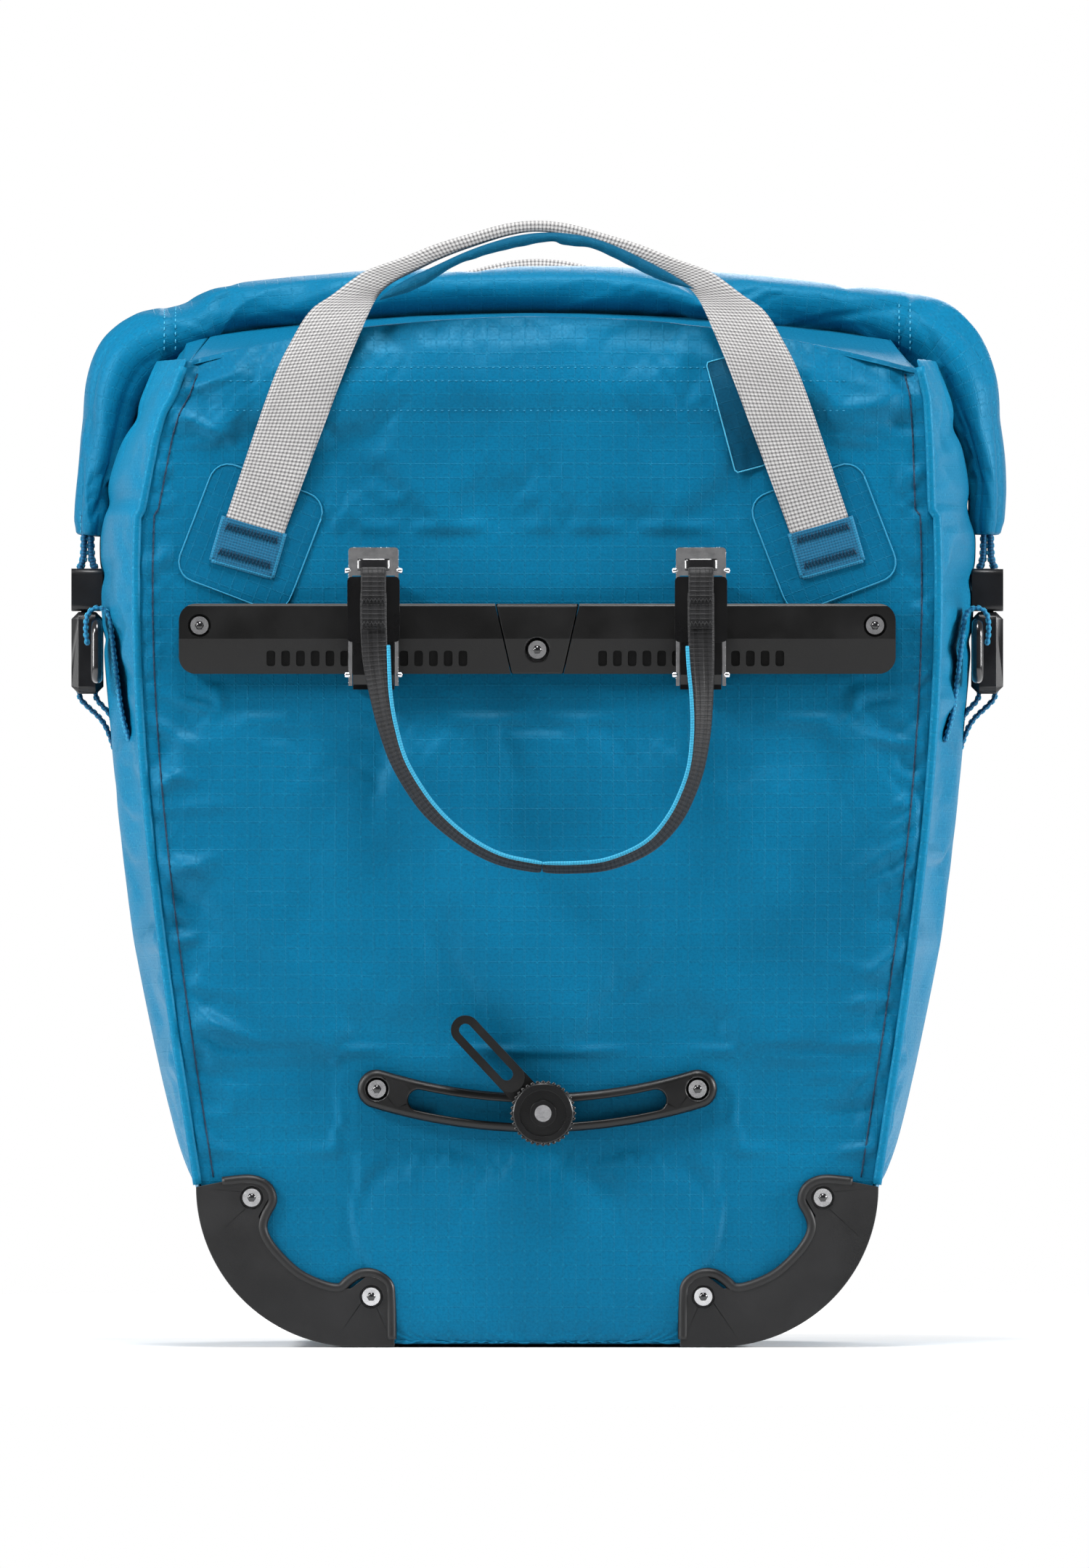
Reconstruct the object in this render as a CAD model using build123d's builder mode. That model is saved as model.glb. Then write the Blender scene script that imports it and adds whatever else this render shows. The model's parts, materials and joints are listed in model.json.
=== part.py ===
from build123d import *
from math import asin, cos, radians, sin, sqrt
import os

# Roll-top pannier bag. The rack side faces -Y, the base stands on Z = 0 and
# X = 0 is the middle of the bag. All sizes are in millimetres.

# Bag body
fabric = 2.0  # coated fabric with its lining
back_y = -88.0  # outer face of the rack-side panel
front_y = 90.0  # outer face of the street-side panel
side_shape = [(139, 66), (154, 168), (163, 260), (164, 345), (158, 404)]  # seam, X and Z
side_bulge = [2, 8.5, 9.5, 13, 8]  # how far the gusset swells out at each of those points
corner_x = 75.0  # centre of the rounded bottom corner
corner_z = 66.0
corner_r = 64.0
base_half = 58.0  # half width of the flat base panel
top_z = 426.0  # middle of the panels' top edge
shoulder_z = 404.0  # the same edge at the side seams
board_inset = 11.0
board_thick = 3.0

# Rolled closure
roll_half = 150.0
roll_top = 445.0
roll_high = 20.0
roll_deep = 44.0
roll_radius = 1007.0  # the roll sags a little towards both ends
stiffener_deep = 3.0
stiffener_high = 13.0
slot_gap = 0.1
ear_half = 22.0

# Side straps and buckles
strap_thick = 1.6
side_webbing = 25.0
buckle_deep = 34.0
buckle_inner_x = 180.5
buckle_outer_x = 193.5
buckle_bottom = 270.0
buckle_split = 304.0
buckle_top = 322.0
bar = 4.0
ring_y = -42.0
ring_x = 182.5
ring_top = 299.0
ring_wide = 28.0
ring_high = 27.0
ring_wire = 4.4
ring_corner = 5.0
ring_loop_wide = 14.0

# Top rail
rail_low = 278.0
rail_high = 307.0
rail_half = 148.0
rail_web = 4.0
rail_head = 6.0
lip_high = 3.0  # the head overhangs its web by this much, above and below
index_pitch = 6.1
index_wide = 3.6
index_high = 6.4
screw_x = 139.5
rail_screw_z = 298.0
centre_screw_z = 288.0
head_r = 4.2
head_high = 2.2
shank_r = 2.0
shank_hole_r = 2.1
nut_r = 4.8
nut_thick = 2.6

# Hooks for a rack tube of 16 mm
hook_x = 67.5
tube_r = 8.05
insert_thick = 1.4
tube_y = -109.7
tube_z = 300.0
hook_half = 8.5
slide_gap = 0.3
arm_outer_y = -123.6
arm_inner_y = -117.9
hook_low = 271.5
hook_high = 318.0
stirrup_top = 330.0
stirrup_low = 273.0
catch_pivot_y = -120.4
catch_pivot_z = 283.5
catch_wide = 10.0
arm_skin = 1.0
pin_r = 0.9

# Swivelling foot on its arc
arc_r = 226.0
arc_end_x = 66.25
arc_end_z = 106.5
arc_wide = 16.0
arc_thick = 7.0
arc_slot = 8.6
arc_slot_end = 49.0
foot_x = 2.4
lever_angle = 43.0
lever_long = 53.0
knob_r = 13.0

# Corner protectors
guard_thick = 3.0
guard_wrap = 28.0
guard_screws = [(118.0, 61.6), (68.6, 20.7)]

# Handles
webbing = 25.0
webbing_thick = 2.0
pivot_z = 359.5
pivot_x = 107.0
grip_half = 80.0
grip_end_z = 430.0
handle_top = 465.0
band_high = 8.0
sleeve_high = 9.0
band_deep = 10.0
sleeve_deep = 12.0
front_tilt = 31.0
strap_tilt = 21.0  # how far the handle straps lean outwards at the panel
tab_spot = (116.0, 339.0)
tab_high = 31.0
stitch_box = 18.0
patch_spot = (118.5, 332.0)
patch_side = 50.0
label_spot = (84.0, 385.5)
label_tilt = 14.0

both_sides = [("left", -1), ("right", 1)]
bar_window = side_webbing + 1.6
arc_centre_z = arc_end_z + sqrt(arc_r**2 - arc_end_x**2)
foot_z = arc_centre_z - sqrt(arc_r**2 - foot_x**2)
roll_centre_z = roll_top - roll_radius
rail_face_y = back_y - rail_web - rail_head
inner_y = back_y + fabric + board_thick


def facing(y):
    """The XZ plane at this Y, seen from the rack side: extruding goes towards -Y."""
    return Plane.XZ.offset(-y)


def finish(piece, name):
    piece.part.label = name
    export_step(piece.part, f"parts/{name}.step")


os.makedirs("parts", exist_ok=True)


# Panels -----------------------------------------------------------------

def panel_face(inset=0):
    """Outline of the flat panels, or the same outline moved inwards."""
    seam = [Vector(x - inset, z) for x, z in side_shape[:-1]]
    seam.append(Vector(side_shape[-1][0] - inset, shoulder_z - inset))
    mirrored = [Vector(-point.X, point.Y) for point in reversed(seam)]
    radius = corner_r - inset
    with BuildSketch() as face:
        with BuildLine():
            right = Spline(seam)
            top = ThreePointArc(right @ 1, (0, top_z - inset), mirrored[0])
            left = Spline(mirrored)
            low = corner_z - radius
            turn = radius * sin(radians(45))
            mid_left = (-corner_x - turn, corner_z - turn)
            mid_right = (corner_x + turn, corner_z - turn)
            lower_left = ThreePointArc(left @ 1, mid_left, (-corner_x, low))
            base = Line(lower_left @ 1, (corner_x, low))
            ThreePointArc(base @ 1, mid_right, right @ 0)
        make_face()
    return face.sketch


screw_spots = [(side * x, z) for side in (-1, 1) for x, z in guard_screws]
screw_spots += [(-screw_x, rail_screw_z), (0, centre_screw_z), (screw_x, rail_screw_z)]
screw_spots += [(-arc_end_x, arc_end_z), (arc_end_x, arc_end_z)]

with BuildPart() as back_panel:
    with BuildSketch(facing(back_y)):
        add(panel_face())
        with Locations(*screw_spots):
            Circle(shank_hole_r, mode=Mode.SUBTRACT)
    extrude(amount=-fabric)
finish(back_panel, "back_panel")

with BuildPart() as front_panel:
    with BuildSketch(facing(front_y)):
        add(panel_face())
    extrude(amount=fabric)
finish(front_panel, "front_panel")

with BuildPart() as back_board:
    with BuildSketch(facing(back_y + fabric)):
        add(panel_face(board_inset))
        with Locations(*screw_spots):
            Circle(shank_hole_r, mode=Mode.SUBTRACT)
    extrude(amount=-board_thick)
finish(back_board, "back_board")

gusset_depth = front_y - back_y - 2 * fabric

with BuildPart() as bottom_panel:
    with BuildSketch(Plane.XY):
        with Locations((0, (front_y + back_y) / 2)):
            Rectangle(2 * base_half, front_y - back_y)
    extrude(amount=fabric)
finish(bottom_panel, "bottom_panel")

for name, side in both_sides:
    with BuildPart() as corner_panel:
        with BuildSketch(facing(back_y + fabric)):
            with Locations((side * corner_x, corner_z)):
                Circle(corner_r)
                Circle(corner_r - fabric, mode=Mode.SUBTRACT)
                Rectangle(2 * corner_r, corner_r, align=(Align.CENTER, Align.MIN), mode=Mode.SUBTRACT)
            with Locations((0, corner_z)):
                Rectangle(2 * corner_x, 3 * corner_r, mode=Mode.SUBTRACT)
            with Locations((side * (base_half + corner_x) / 2, corner_z - corner_r + fabric / 2)):
                Rectangle(corner_x - base_half, fabric)
            with Locations((-side * 2 * corner_x, corner_z)):
                Rectangle(2 * corner_x, 3 * corner_r, mode=Mode.SUBTRACT)
        extrude(amount=-gusset_depth)
    finish(corner_panel, f"{name}_corner_panel")

    with BuildPart() as gusset:
        for y, swell in ((back_y + fabric, 0), ((back_y + front_y) / 2, 1), (front_y - fabric, 0)):
            outer = [Vector(side * (x + swell * b), z) for (x, z), b in zip(side_shape, side_bulge)]
            inner = [point - Vector(side * fabric, 0) for point in reversed(outer)]
            with BuildSketch(facing(y)):
                with BuildLine():
                    out_line = Spline(outer)
                    in_line = Spline(inner)
                    Line(out_line @ 1, in_line @ 0)
                    Line(in_line @ 1, out_line @ 0)
                make_face()
        loft()
    finish(gusset, f"{name}_gusset")


# Rolled closure ---------------------------------------------------------

def arc_band(radius, high, half):
    """Band bent to the roll's sag, its upper edge at this radius."""
    with BuildSketch() as band:
        with Locations((0, roll_centre_z)):
            Circle(radius)
            Circle(radius - high, mode=Mode.SUBTRACT)
        with Locations((0, roll_top)):
            Rectangle(2 * half, 4 * roll_high, mode=Mode.INTERSECT)
    return band.sketch


stiffener_drop = (roll_high - stiffener_high) / 2

with BuildPart() as rolled_closure:
    with BuildSketch(facing(-roll_deep / 2)):
        add(arc_band(roll_radius, roll_high, roll_half))
    extrude(amount=-roll_deep)
    long_edges = rolled_closure.edges().filter_by(GeomType.CIRCLE)
    fillet(long_edges, radius=8)
    with BuildSketch(facing(-stiffener_deep / 2 - slot_gap)):
        add(arc_band(roll_radius - stiffener_drop + slot_gap, stiffener_high + 2 * slot_gap, roll_half + 1))
    extrude(amount=-stiffener_deep - 2 * slot_gap, mode=Mode.SUBTRACT)
finish(rolled_closure, "rolled_closure")

with BuildPart() as roll_stiffener:
    with BuildSketch(facing(-stiffener_deep / 2)):
        add(arc_band(roll_radius - stiffener_drop, stiffener_high, roll_half - 2))
    extrude(amount=-stiffener_deep)
finish(roll_stiffener, "roll_stiffener")

collar_gap = 0.4
with BuildPart() as collar:
    with BuildSketch(facing(back_y + fabric + collar_gap)):
        add(arc_band(roll_radius - roll_high, fabric, roll_half - 2))
    extrude(amount=-gusset_depth + 2 * collar_gap)
finish(collar, "collar")

ear_outer = [(150, 433), (168, 430), (181, 422), (188, 405), (191.5, 380), (192, 352), (190, 335)]
ear_inner = [(184.5, 335), (186, 352), (185.5, 378), (182.5, 400), (175, 414), (164, 419), (150, 420)]

for name, side in both_sides:
    with BuildPart() as ear:
        with BuildSketch(facing(-ear_half)):
            with BuildLine():
                out_line = Spline([Vector(side * x, z) for x, z in ear_outer])
                in_line = Spline([Vector(side * x, z) for x, z in ear_inner])
                Line(out_line @ 1, in_line @ 0)
                Line(in_line @ 1, out_line @ 0)
            make_face()
        extrude(amount=-2 * ear_half)
    finish(ear, f"{name}_ear")

    # Side-release buckle: the tongue half hangs from the ear, the socket half from the bag
    buckle_x = side * (buckle_inner_x + buckle_outer_x) / 2
    buckle_wide = buckle_outer_x - buckle_inner_x
    with BuildPart() as ear_loop:
        with BuildSketch(facing(-side_webbing / 2)):
            with Locations((buckle_x, (ear_outer[-1][1] + buckle_top - bar - strap_thick - 0.3) / 2)):
                Rectangle(bar + 2 * strap_thick + 0.6, ear_outer[-1][1] - buckle_top + bar + strap_thick + 0.3)
            with Locations((buckle_x, (buckle_top + 4 + buckle_top - bar - 0.3) / 2)):
                Rectangle(bar + 0.6, bar + 4.3, mode=Mode.SUBTRACT)
        extrude(amount=-side_webbing)
    finish(ear_loop, f"{name}_ear_loop")

    tongue_low = buckle_bottom + 13
    with BuildPart() as tongue:
        with BuildSketch(Plane.YZ.offset(buckle_x - buckle_wide / 2)):
            with Locations((0, (buckle_split + 0.4 + buckle_top) / 2)):
                Rectangle(buckle_deep, buckle_top - buckle_split - 0.4)
        extrude(amount=buckle_wide)
        fillet(tongue.edges().filter_by(Axis.X), radius=2.5)
        with BuildSketch(Plane.YZ.offset(buckle_x - buckle_wide)):
            with Locations((0, buckle_top - bar - 2.6)):
                Rectangle(bar_window, 5.2)
        extrude(amount=2 * buckle_wide, mode=Mode.SUBTRACT)
        with BuildSketch(facing(-bar_window / 2)):
            with Locations(*[(buckle_x + x * (bar + buckle_wide) / 2, buckle_top - 2) for x in (-1, 1)]):
                Rectangle(buckle_wide, 8.2)
        extrude(amount=-bar_window, mode=Mode.SUBTRACT)
        with BuildSketch(Plane.YZ.offset(buckle_x - 2.5)):
            for y in (-9.5, 0, 9.5):
                with Locations((y, (tongue_low + buckle_split + 1) / 2)):
                    Rectangle(5.5 if y else 3.5, buckle_split + 1 - tongue_low)
        extrude(amount=5)
    finish(tongue, f"{name}_buckle_tongue")

    with BuildPart() as socket:
        with BuildSketch(Plane.YZ.offset(buckle_x - buckle_wide / 2)):
            with Locations((0, (buckle_bottom + buckle_split) / 2)):
                Rectangle(buckle_deep, buckle_split - buckle_bottom)
        extrude(amount=buckle_wide)
        fillet(socket.edges().filter_by(Axis.X), radius=3)
        chamfer(socket.faces().sort_by(Axis.Z)[0].edges().filter_by(Axis.Y), length=3)
        with BuildSketch(Plane.XY.offset(tongue_low - 1)):
            with Locations((buckle_x, 0)):
                Rectangle(8, 28)
        extrude(amount=buckle_split, mode=Mode.SUBTRACT)
        with BuildSketch(Plane.YZ.offset(buckle_x - buckle_wide)):
            with Locations((0, buckle_bottom + bar + 2.6)):
                Rectangle(bar_window, 5.2)
        extrude(amount=2 * buckle_wide, mode=Mode.SUBTRACT)
        with BuildSketch(facing(-bar_window / 2)):
            with Locations(*[(buckle_x + x * (bar + buckle_wide) / 2, buckle_bottom + 2) for x in (-1, 1)]):
                Rectangle(buckle_wide, 8.2)
        extrude(amount=-bar_window, mode=Mode.SUBTRACT)
    finish(socket, f"{name}_buckle_socket")

    # The strap that holds the socket comes off the gusset, goes round the socket's bar
    with BuildPart() as side_strap:
        with BuildSketch(facing(-side_webbing / 2)):
            with BuildLine():
                Polyline(
                    (side * 174.6, 232), (side * 177, 232), (side * 179.6, 258), (side * 190.9, 268),
                    (side * 190.9, 276), (side * 183.1, 276), (side * 183.1, 268.5), (side * 176.8, 260),
                    close=True,
                )
            make_face()
            with Locations((buckle_x, buckle_bottom + bar / 2)):
                Rectangle(bar + 0.6, bar + 0.6, mode=Mode.SUBTRACT)
        extrude(amount=-side_webbing)
    finish(side_strap, f"{name}_side_strap")

    # A second short loop carries the ring for a shoulder strap
    with BuildPart() as ring_loop:
        with BuildSketch(facing(ring_y - ring_loop_wide / 2)):
            with BuildLine():
                Polyline(
                    (side * 173.2, 262), (side * 175.2, 262), (side * 177.8, 290), (side * 179.3, 302),
                    (side * 182.5, 303.6), (side * 186, 301.5), (side * 186, 295.2), (side * 187.6, 295.2),
                    (side * 187.6, 303), (side * 183, 306.4), (side * 177.8, 304.5), (side * 176.2, 292),
                    close=True,
                )
            make_face()
        extrude(amount=-ring_loop_wide)
    finish(ring_loop, f"{name}_ring_loop")

    with BuildPart() as strap_ring:
        half_w = ring_wide / 2 - ring_wire / 2
        low = ring_top - ring_high + ring_wire
        with BuildLine():
            path = FilletPolyline(
                (side * ring_x, ring_y + half_w, ring_top), (side * ring_x, ring_y + half_w, low),
                (side * ring_x, ring_y - half_w, low), (side * ring_x, ring_y - half_w, ring_top),
                radius=ring_corner, close=True,
            )
        with BuildSketch(Plane(origin=path @ 0, z_dir=path % 0)):
            Circle(ring_wire / 2)
        sweep()
    finish(strap_ring, f"{name}_strap_ring")


# Top rail ---------------------------------------------------------------

rail_middle = (rail_low + rail_high) / 2
joint_low = 10.5  # half width of the centre piece at its lower edge
joint_high = 17.5


def rail_block():
    """Rail section along its whole length, with rounded ends and screw recesses."""
    web_face = back_y - rail_web
    with BuildPart() as block:
        with BuildSketch(Plane.YZ.offset(-rail_half)):
            with BuildLine():
                Polyline(
                    (back_y, rail_low + lip_high), (web_face, rail_low + lip_high),
                    (web_face, rail_low), (rail_face_y + 3, rail_low), (rail_face_y, rail_middle),
                    (rail_face_y, rail_high - 1), (rail_face_y + 1, rail_high),
                    (web_face, rail_high), (web_face, rail_high - lip_high),
                    (back_y, rail_high - lip_high), close=True,
                )
            make_face()
        extrude(amount=2 * rail_half)
        with BuildSketch(facing(back_y)):
            with Locations((0, rail_middle)):
                RectangleRounded(2 * rail_half, rail_high - rail_low, 7)
        extrude(amount=rail_web + rail_head, mode=Mode.INTERSECT)
        for x, z in ((-screw_x, rail_screw_z), (0, centre_screw_z), (screw_x, rail_screw_z)):
            with BuildSketch(facing(back_y)):
                with Locations((x, z)):
                    Circle(shank_hole_r)
            extrude(amount=20, mode=Mode.SUBTRACT)
            with BuildSketch(facing(rail_face_y + 3)):
                with Locations((x, z)):
                    Circle(head_r + 0.6)
            extrude(amount=20, mode=Mode.SUBTRACT)
    return block.part


def centre_wedge(grow):
    with BuildSketch() as wedge:
        with BuildLine():
            Polyline(
                (-joint_low - grow, rail_low - 1), (joint_low + grow, rail_low - 1),
                (joint_high + grow, rail_high + 1), (-joint_high - grow, rail_high + 1), close=True,
            )
        make_face()
    return wedge.sketch


with BuildPart() as rail_centre:
    add(rail_block())
    with BuildSketch(facing(back_y + 1)):
        add(centre_wedge(0))
    extrude(amount=20, mode=Mode.INTERSECT)
finish(rail_centre, "rail_centre")

index_spots = {"left": (-110, 14), "right": (27, 13)}  # first slot's X and how many follow it

for name, side in both_sides:
    with BuildPart() as rail:
        add(rail_block())
        with BuildSketch(facing(back_y + 1)):
            add(centre_wedge(0.2))
        extrude(amount=20, mode=Mode.SUBTRACT)
        with BuildSketch(Plane.XY.offset(rail_low - 1)):
            with Locations((-side * rail_half, back_y - 5)):
                Rectangle(2 * rail_half, 30)
        extrude(amount=40, mode=Mode.SUBTRACT)
        first, count = index_spots[name]
        with BuildSketch(facing(rail_face_y + 3.6)):
            with Locations(*[(first + index_pitch * i, rail_low + 6.4) for i in range(count)]):
                RectangleRounded(index_wide, index_high, 1.2)
        extrude(amount=10, mode=Mode.SUBTRACT)
    finish(rail, f"rail_{name}")


# Fasteners --------------------------------------------------------------

def screw_group(spots, seat_y):
    """Button-head screws standing on seat_y and reaching through to their nuts."""
    with BuildPart() as group:
        with BuildSketch(facing(seat_y)):
            with Locations(*spots):
                Circle(head_r)
        extrude(amount=head_high, taper=12)
        with BuildSketch(facing(seat_y)):
            with Locations(*spots):
                Circle(shank_r)
        extrude(amount=seat_y - inner_y - nut_thick)
        with BuildSketch(facing(seat_y - head_high)):
            with Locations(*spots):
                RegularPolygon(radius=1.6, side_count=6)
        extrude(amount=-1.3, mode=Mode.SUBTRACT)
    return group


guard_spots = screw_spots[:4]
rail_spots = screw_spots[4:7]
arc_spots = screw_spots[7:]

finish(screw_group(rail_spots, rail_face_y + 3), "rail_screws")

finish(screw_group(arc_spots, back_y - arc_thick + 2.4), "arc_rail_screws")

finish(screw_group(guard_spots, back_y - guard_thick + 1), "protector_screws")

with BuildPart() as inner_nuts:
    with BuildSketch(facing(inner_y)):
        with Locations(*screw_spots):
            Circle(nut_r)
            Circle(shank_r + 0.05, mode=Mode.SUBTRACT)
    extrude(amount=-nut_thick)
finish(inner_nuts, "inner_nuts")


# Hooks ------------------------------------------------------------------

seat_back_y = rail_face_y - slide_gap  # back of the hook, just in front of the rail
insert_r = tube_r + insert_thick
lip_back_y = back_y - 1.3

for name, side in both_sides:
    centre = side * hook_x
    cover_half = hook_half + 2.3
    with BuildPart() as hook_body:
        with BuildSketch(Plane.YZ.offset(centre - hook_half)):
            with BuildLine():
                Polyline(
                    (lip_back_y, hook_low), (arm_inner_y + 14, hook_low), (arm_inner_y + 16.2, hook_low + 8),
                    (arm_inner_y + 16.2, tube_z), (arm_inner_y, tube_z), (arm_inner_y, hook_low + 2),
                    (arm_outer_y + 1.5, hook_low + 2), (arm_outer_y, hook_low + 6),
                    (arm_outer_y, hook_high - 4), (arm_outer_y + 4, hook_high),
                    (lip_back_y, hook_high - 2),
                    (lip_back_y, rail_high - lip_high + slide_gap),
                    (back_y - rail_web + slide_gap, rail_high - lip_high + slide_gap),
                    (back_y - rail_web + slide_gap, rail_high + slide_gap),
                    (seat_back_y, rail_high + slide_gap), (seat_back_y, rail_low - slide_gap),
                    (back_y - rail_web + slide_gap, rail_low - slide_gap),
                    (back_y - rail_web + slide_gap, rail_low + lip_high - slide_gap),
                    (lip_back_y, rail_low + lip_high - slide_gap), close=True,
                )
            make_face()
            with Locations((tube_y, tube_z)):
                Circle(insert_r, mode=Mode.SUBTRACT)
        extrude(amount=2 * hook_half)
        # Window in the arm where the catch lies when it is open
        with BuildSketch(facing(arm_outer_y + arm_skin)):
            with Locations((centre, catch_pivot_z + 6)):
                Rectangle(catch_wide + 0.6, 23)
        extrude(amount=arm_outer_y + arm_skin - arm_inner_y - 1, mode=Mode.SUBTRACT)
        with BuildSketch(Plane.YZ.offset(centre - hook_half)):
            with Locations((catch_pivot_y, catch_pivot_z)):
                Circle(pin_r + 0.03)
        extrude(amount=2 * hook_half, mode=Mode.SUBTRACT)
        # Covers that bulge past the stirrup's legs
        with BuildSketch(facing(arm_outer_y - 0.1)):
            with Locations((centre, (hook_high + 291) / 2)):
                RectangleRounded(2 * cover_half, hook_high - 291, 2)
        extrude(amount=1.6)
        with BuildSketch(facing(arm_outer_y)):
            with Locations((centre, (hook_high + 291) / 2)):
                Rectangle(2 * hook_half, hook_high - 295)
        extrude(amount=0.2)
    finish(hook_body, f"{name}_hook")

    with BuildPart() as tube_insert:
        with BuildSketch(Plane.YZ.offset(centre - hook_half)):
            with Locations((tube_y, tube_z)):
                Circle(insert_r - 0.02)
                Circle(tube_r, mode=Mode.SUBTRACT)
                Rectangle(30, 30, align=(Align.CENTER, Align.MAX), mode=Mode.SUBTRACT)
        extrude(amount=2 * hook_half)
    finish(tube_insert, f"{name}_tube_insert")

    with BuildPart() as stirrup:
        leg_in = hook_half + 0.3
        leg_out = hook_half + 1.8
        plate_y = arm_outer_y + 0.4
        with BuildSketch(facing(plate_y + 3.4)):
            with Locations((centre, (stirrup_top + hook_high + 0.4) / 2)):
                RectangleRounded(2 * leg_out, stirrup_top - hook_high - 0.4, 1.5)
            for x in (-1, 1):
                with Locations((centre + x * (leg_in + leg_out) / 2, (stirrup_low + stirrup_top - 4) / 2)):
                    Rectangle(leg_out - leg_in, stirrup_top - 4 - stirrup_low)
            with Locations((centre, 323.4)):
                RectangleRounded(11.7, 3.4, 1, mode=Mode.SUBTRACT)
        extrude(amount=3.4)
    finish(stirrup, f"{name}_stirrup")

    with BuildPart() as catch:
        tip_y = tube_y + 0.4
        tip_z = 288.6
        with BuildSketch(Plane.YZ.offset(centre - catch_wide / 2)):
            with BuildLine():
                Line((catch_pivot_y, catch_pivot_z), (tip_y, tip_z))
            trace(line_width=2.6)
            with Locations((catch_pivot_y, catch_pivot_z)):
                Circle(1.9)
            with Locations((tip_y, tip_z)):
                Circle(1.3)
            with Locations((catch_pivot_y, catch_pivot_z)):
                Circle(pin_r + 0.06, mode=Mode.SUBTRACT)
        extrude(amount=catch_wide)
    finish(catch, f"{name}_catch")

    with BuildPart() as catch_pin:
        with BuildSketch(Plane.YZ.offset(centre - hook_half)):
            with Locations((catch_pivot_y, catch_pivot_z)):
                Circle(pin_r)
        extrude(amount=2 * hook_half)
    finish(catch_pin, f"{name}_catch_pin")

strap_wide = 11.0
strap_route = [(-67.5, 319), (-67.5, 268), (-50, 226), (-12, 198.5), (22, 198), (52, 222), (67.5, 262), (67.5, 319)]
strap_radii = [90, 55, 38, 38, 55, 60]

with BuildPart() as release_strap:
    with BuildSketch(facing(arm_outer_y - 2.2)):
        with BuildLine():
            FilletPolyline(*strap_route, radius=strap_radii)
        trace(line_width=strap_wide)
    extrude(amount=2)
finish(release_strap, "release_strap")


# Foot -------------------------------------------------------------------

def arc_point(x, radius):
    return (x * radius / arc_r, arc_centre_z - radius * sqrt(1 - (x / arc_r) ** 2))


def arc_strip(half_x, wide):
    """Curved strip with round ends, along the foot's arc."""
    with BuildSketch() as strip:
        with BuildLine():
            outer = arc_r + wide / 2
            inner = arc_r - wide / 2
            low = ThreePointArc(arc_point(-half_x, outer), arc_point(0, outer), arc_point(half_x, outer))
            high = ThreePointArc(arc_point(half_x, inner), arc_point(0, inner), arc_point(-half_x, inner))
            tilt = asin(half_x / arc_r)
            reach = half_x + wide / 2 * cos(tilt)
            rise = arc_point(half_x, arc_r)[1] + wide / 2 * sin(tilt)
            ThreePointArc(low @ 1, (reach, rise), high @ 0)
            ThreePointArc(high @ 1, (-reach, rise), low @ 0)
        make_face()
    return strip.sketch


flange_thick = 2.4
with BuildPart() as arc_rail:
    with BuildSketch(facing(back_y)):
        add(arc_strip(arc_end_x, arc_wide))
    extrude(amount=arc_thick)
    outer_face = arc_rail.faces().sort_by(Axis.Y)[0]
    chamfer(outer_face.edges(), length=1.5)
    with BuildSketch(facing(back_y)):
        add(arc_strip(arc_slot_end, arc_slot))
    extrude(amount=arc_thick, mode=Mode.SUBTRACT)
    with BuildSketch(facing(back_y)):
        add(arc_strip(arc_slot_end, arc_slot + 4))
    extrude(amount=flange_thick + 0.6, mode=Mode.SUBTRACT)
    for spot in arc_spots:
        with BuildSketch(facing(back_y)):
            with Locations(spot):
                Circle(shank_hole_r)
        extrude(amount=arc_thick, mode=Mode.SUBTRACT)
        with BuildSketch(facing(back_y - arc_thick + 2.4)):
            with Locations(spot):
                Circle(head_r + 0.4)
        extrude(amount=arc_thick, mode=Mode.SUBTRACT)
finish(arc_rail, "arc_rail")

foot_spot = (foot_x, foot_z)
lever_y = back_y - arc_thick - 0.4
lever_thick = 4.0
knob_y = lever_y - lever_thick - 0.4
knob_thick = 8.0
bolt_r = 2.5
bolt_gap = 0.06

with BuildPart() as foot_carriage:
    with BuildSketch(facing(back_y - 0.3)):
        with Locations(foot_spot):
            Circle(arc_slot / 2 + 1.7)
    extrude(amount=flange_thick)
    with BuildSketch(facing(back_y - 0.3)):
        with Locations(foot_spot):
            Circle(arc_slot / 2 - 0.3)
    extrude(amount=arc_thick)
    with BuildSketch(facing(back_y)):
        with Locations(foot_spot):
            Circle(bolt_r + bolt_gap)
    extrude(amount=20, mode=Mode.SUBTRACT)
finish(foot_carriage, "foot_carriage")

lean = radians(90 + lever_angle)
lever_tip = (foot_x + (lever_long - 6) * cos(lean), foot_z + (lever_long - 6) * sin(lean))
with BuildPart() as foot_lever:
    with BuildSketch(facing(lever_y)):
        with BuildLine():
            Line(foot_spot, lever_tip)
        trace(line_width=12)
        with Locations(foot_spot):
            Circle(11)
        with Locations(lever_tip):
            Circle(6)
        with Locations(foot_spot):
            Circle(bolt_r + bolt_gap, mode=Mode.SUBTRACT)
    extrude(amount=lever_thick)
    rim_start = (foot_x + 20 * cos(lean), foot_z + 20 * sin(lean))
    with BuildSketch(facing(lever_y - lever_thick)):
        with BuildLine():
            Line(rim_start, lever_tip)
        trace(line_width=12)
        with Locations(rim_start, lever_tip):
            Circle(6)
    extrude(amount=7)
    slot_start = (foot_x + 22 * cos(lean), foot_z + 22 * sin(lean))
    with BuildSketch(facing(lever_y)):
        with BuildLine():
            Line(slot_start, lever_tip)
        trace(line_width=5.2)
        with Locations(slot_start, lever_tip):
            Circle(2.6)
    extrude(amount=20, mode=Mode.SUBTRACT)
finish(foot_lever, "foot_lever")

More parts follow.
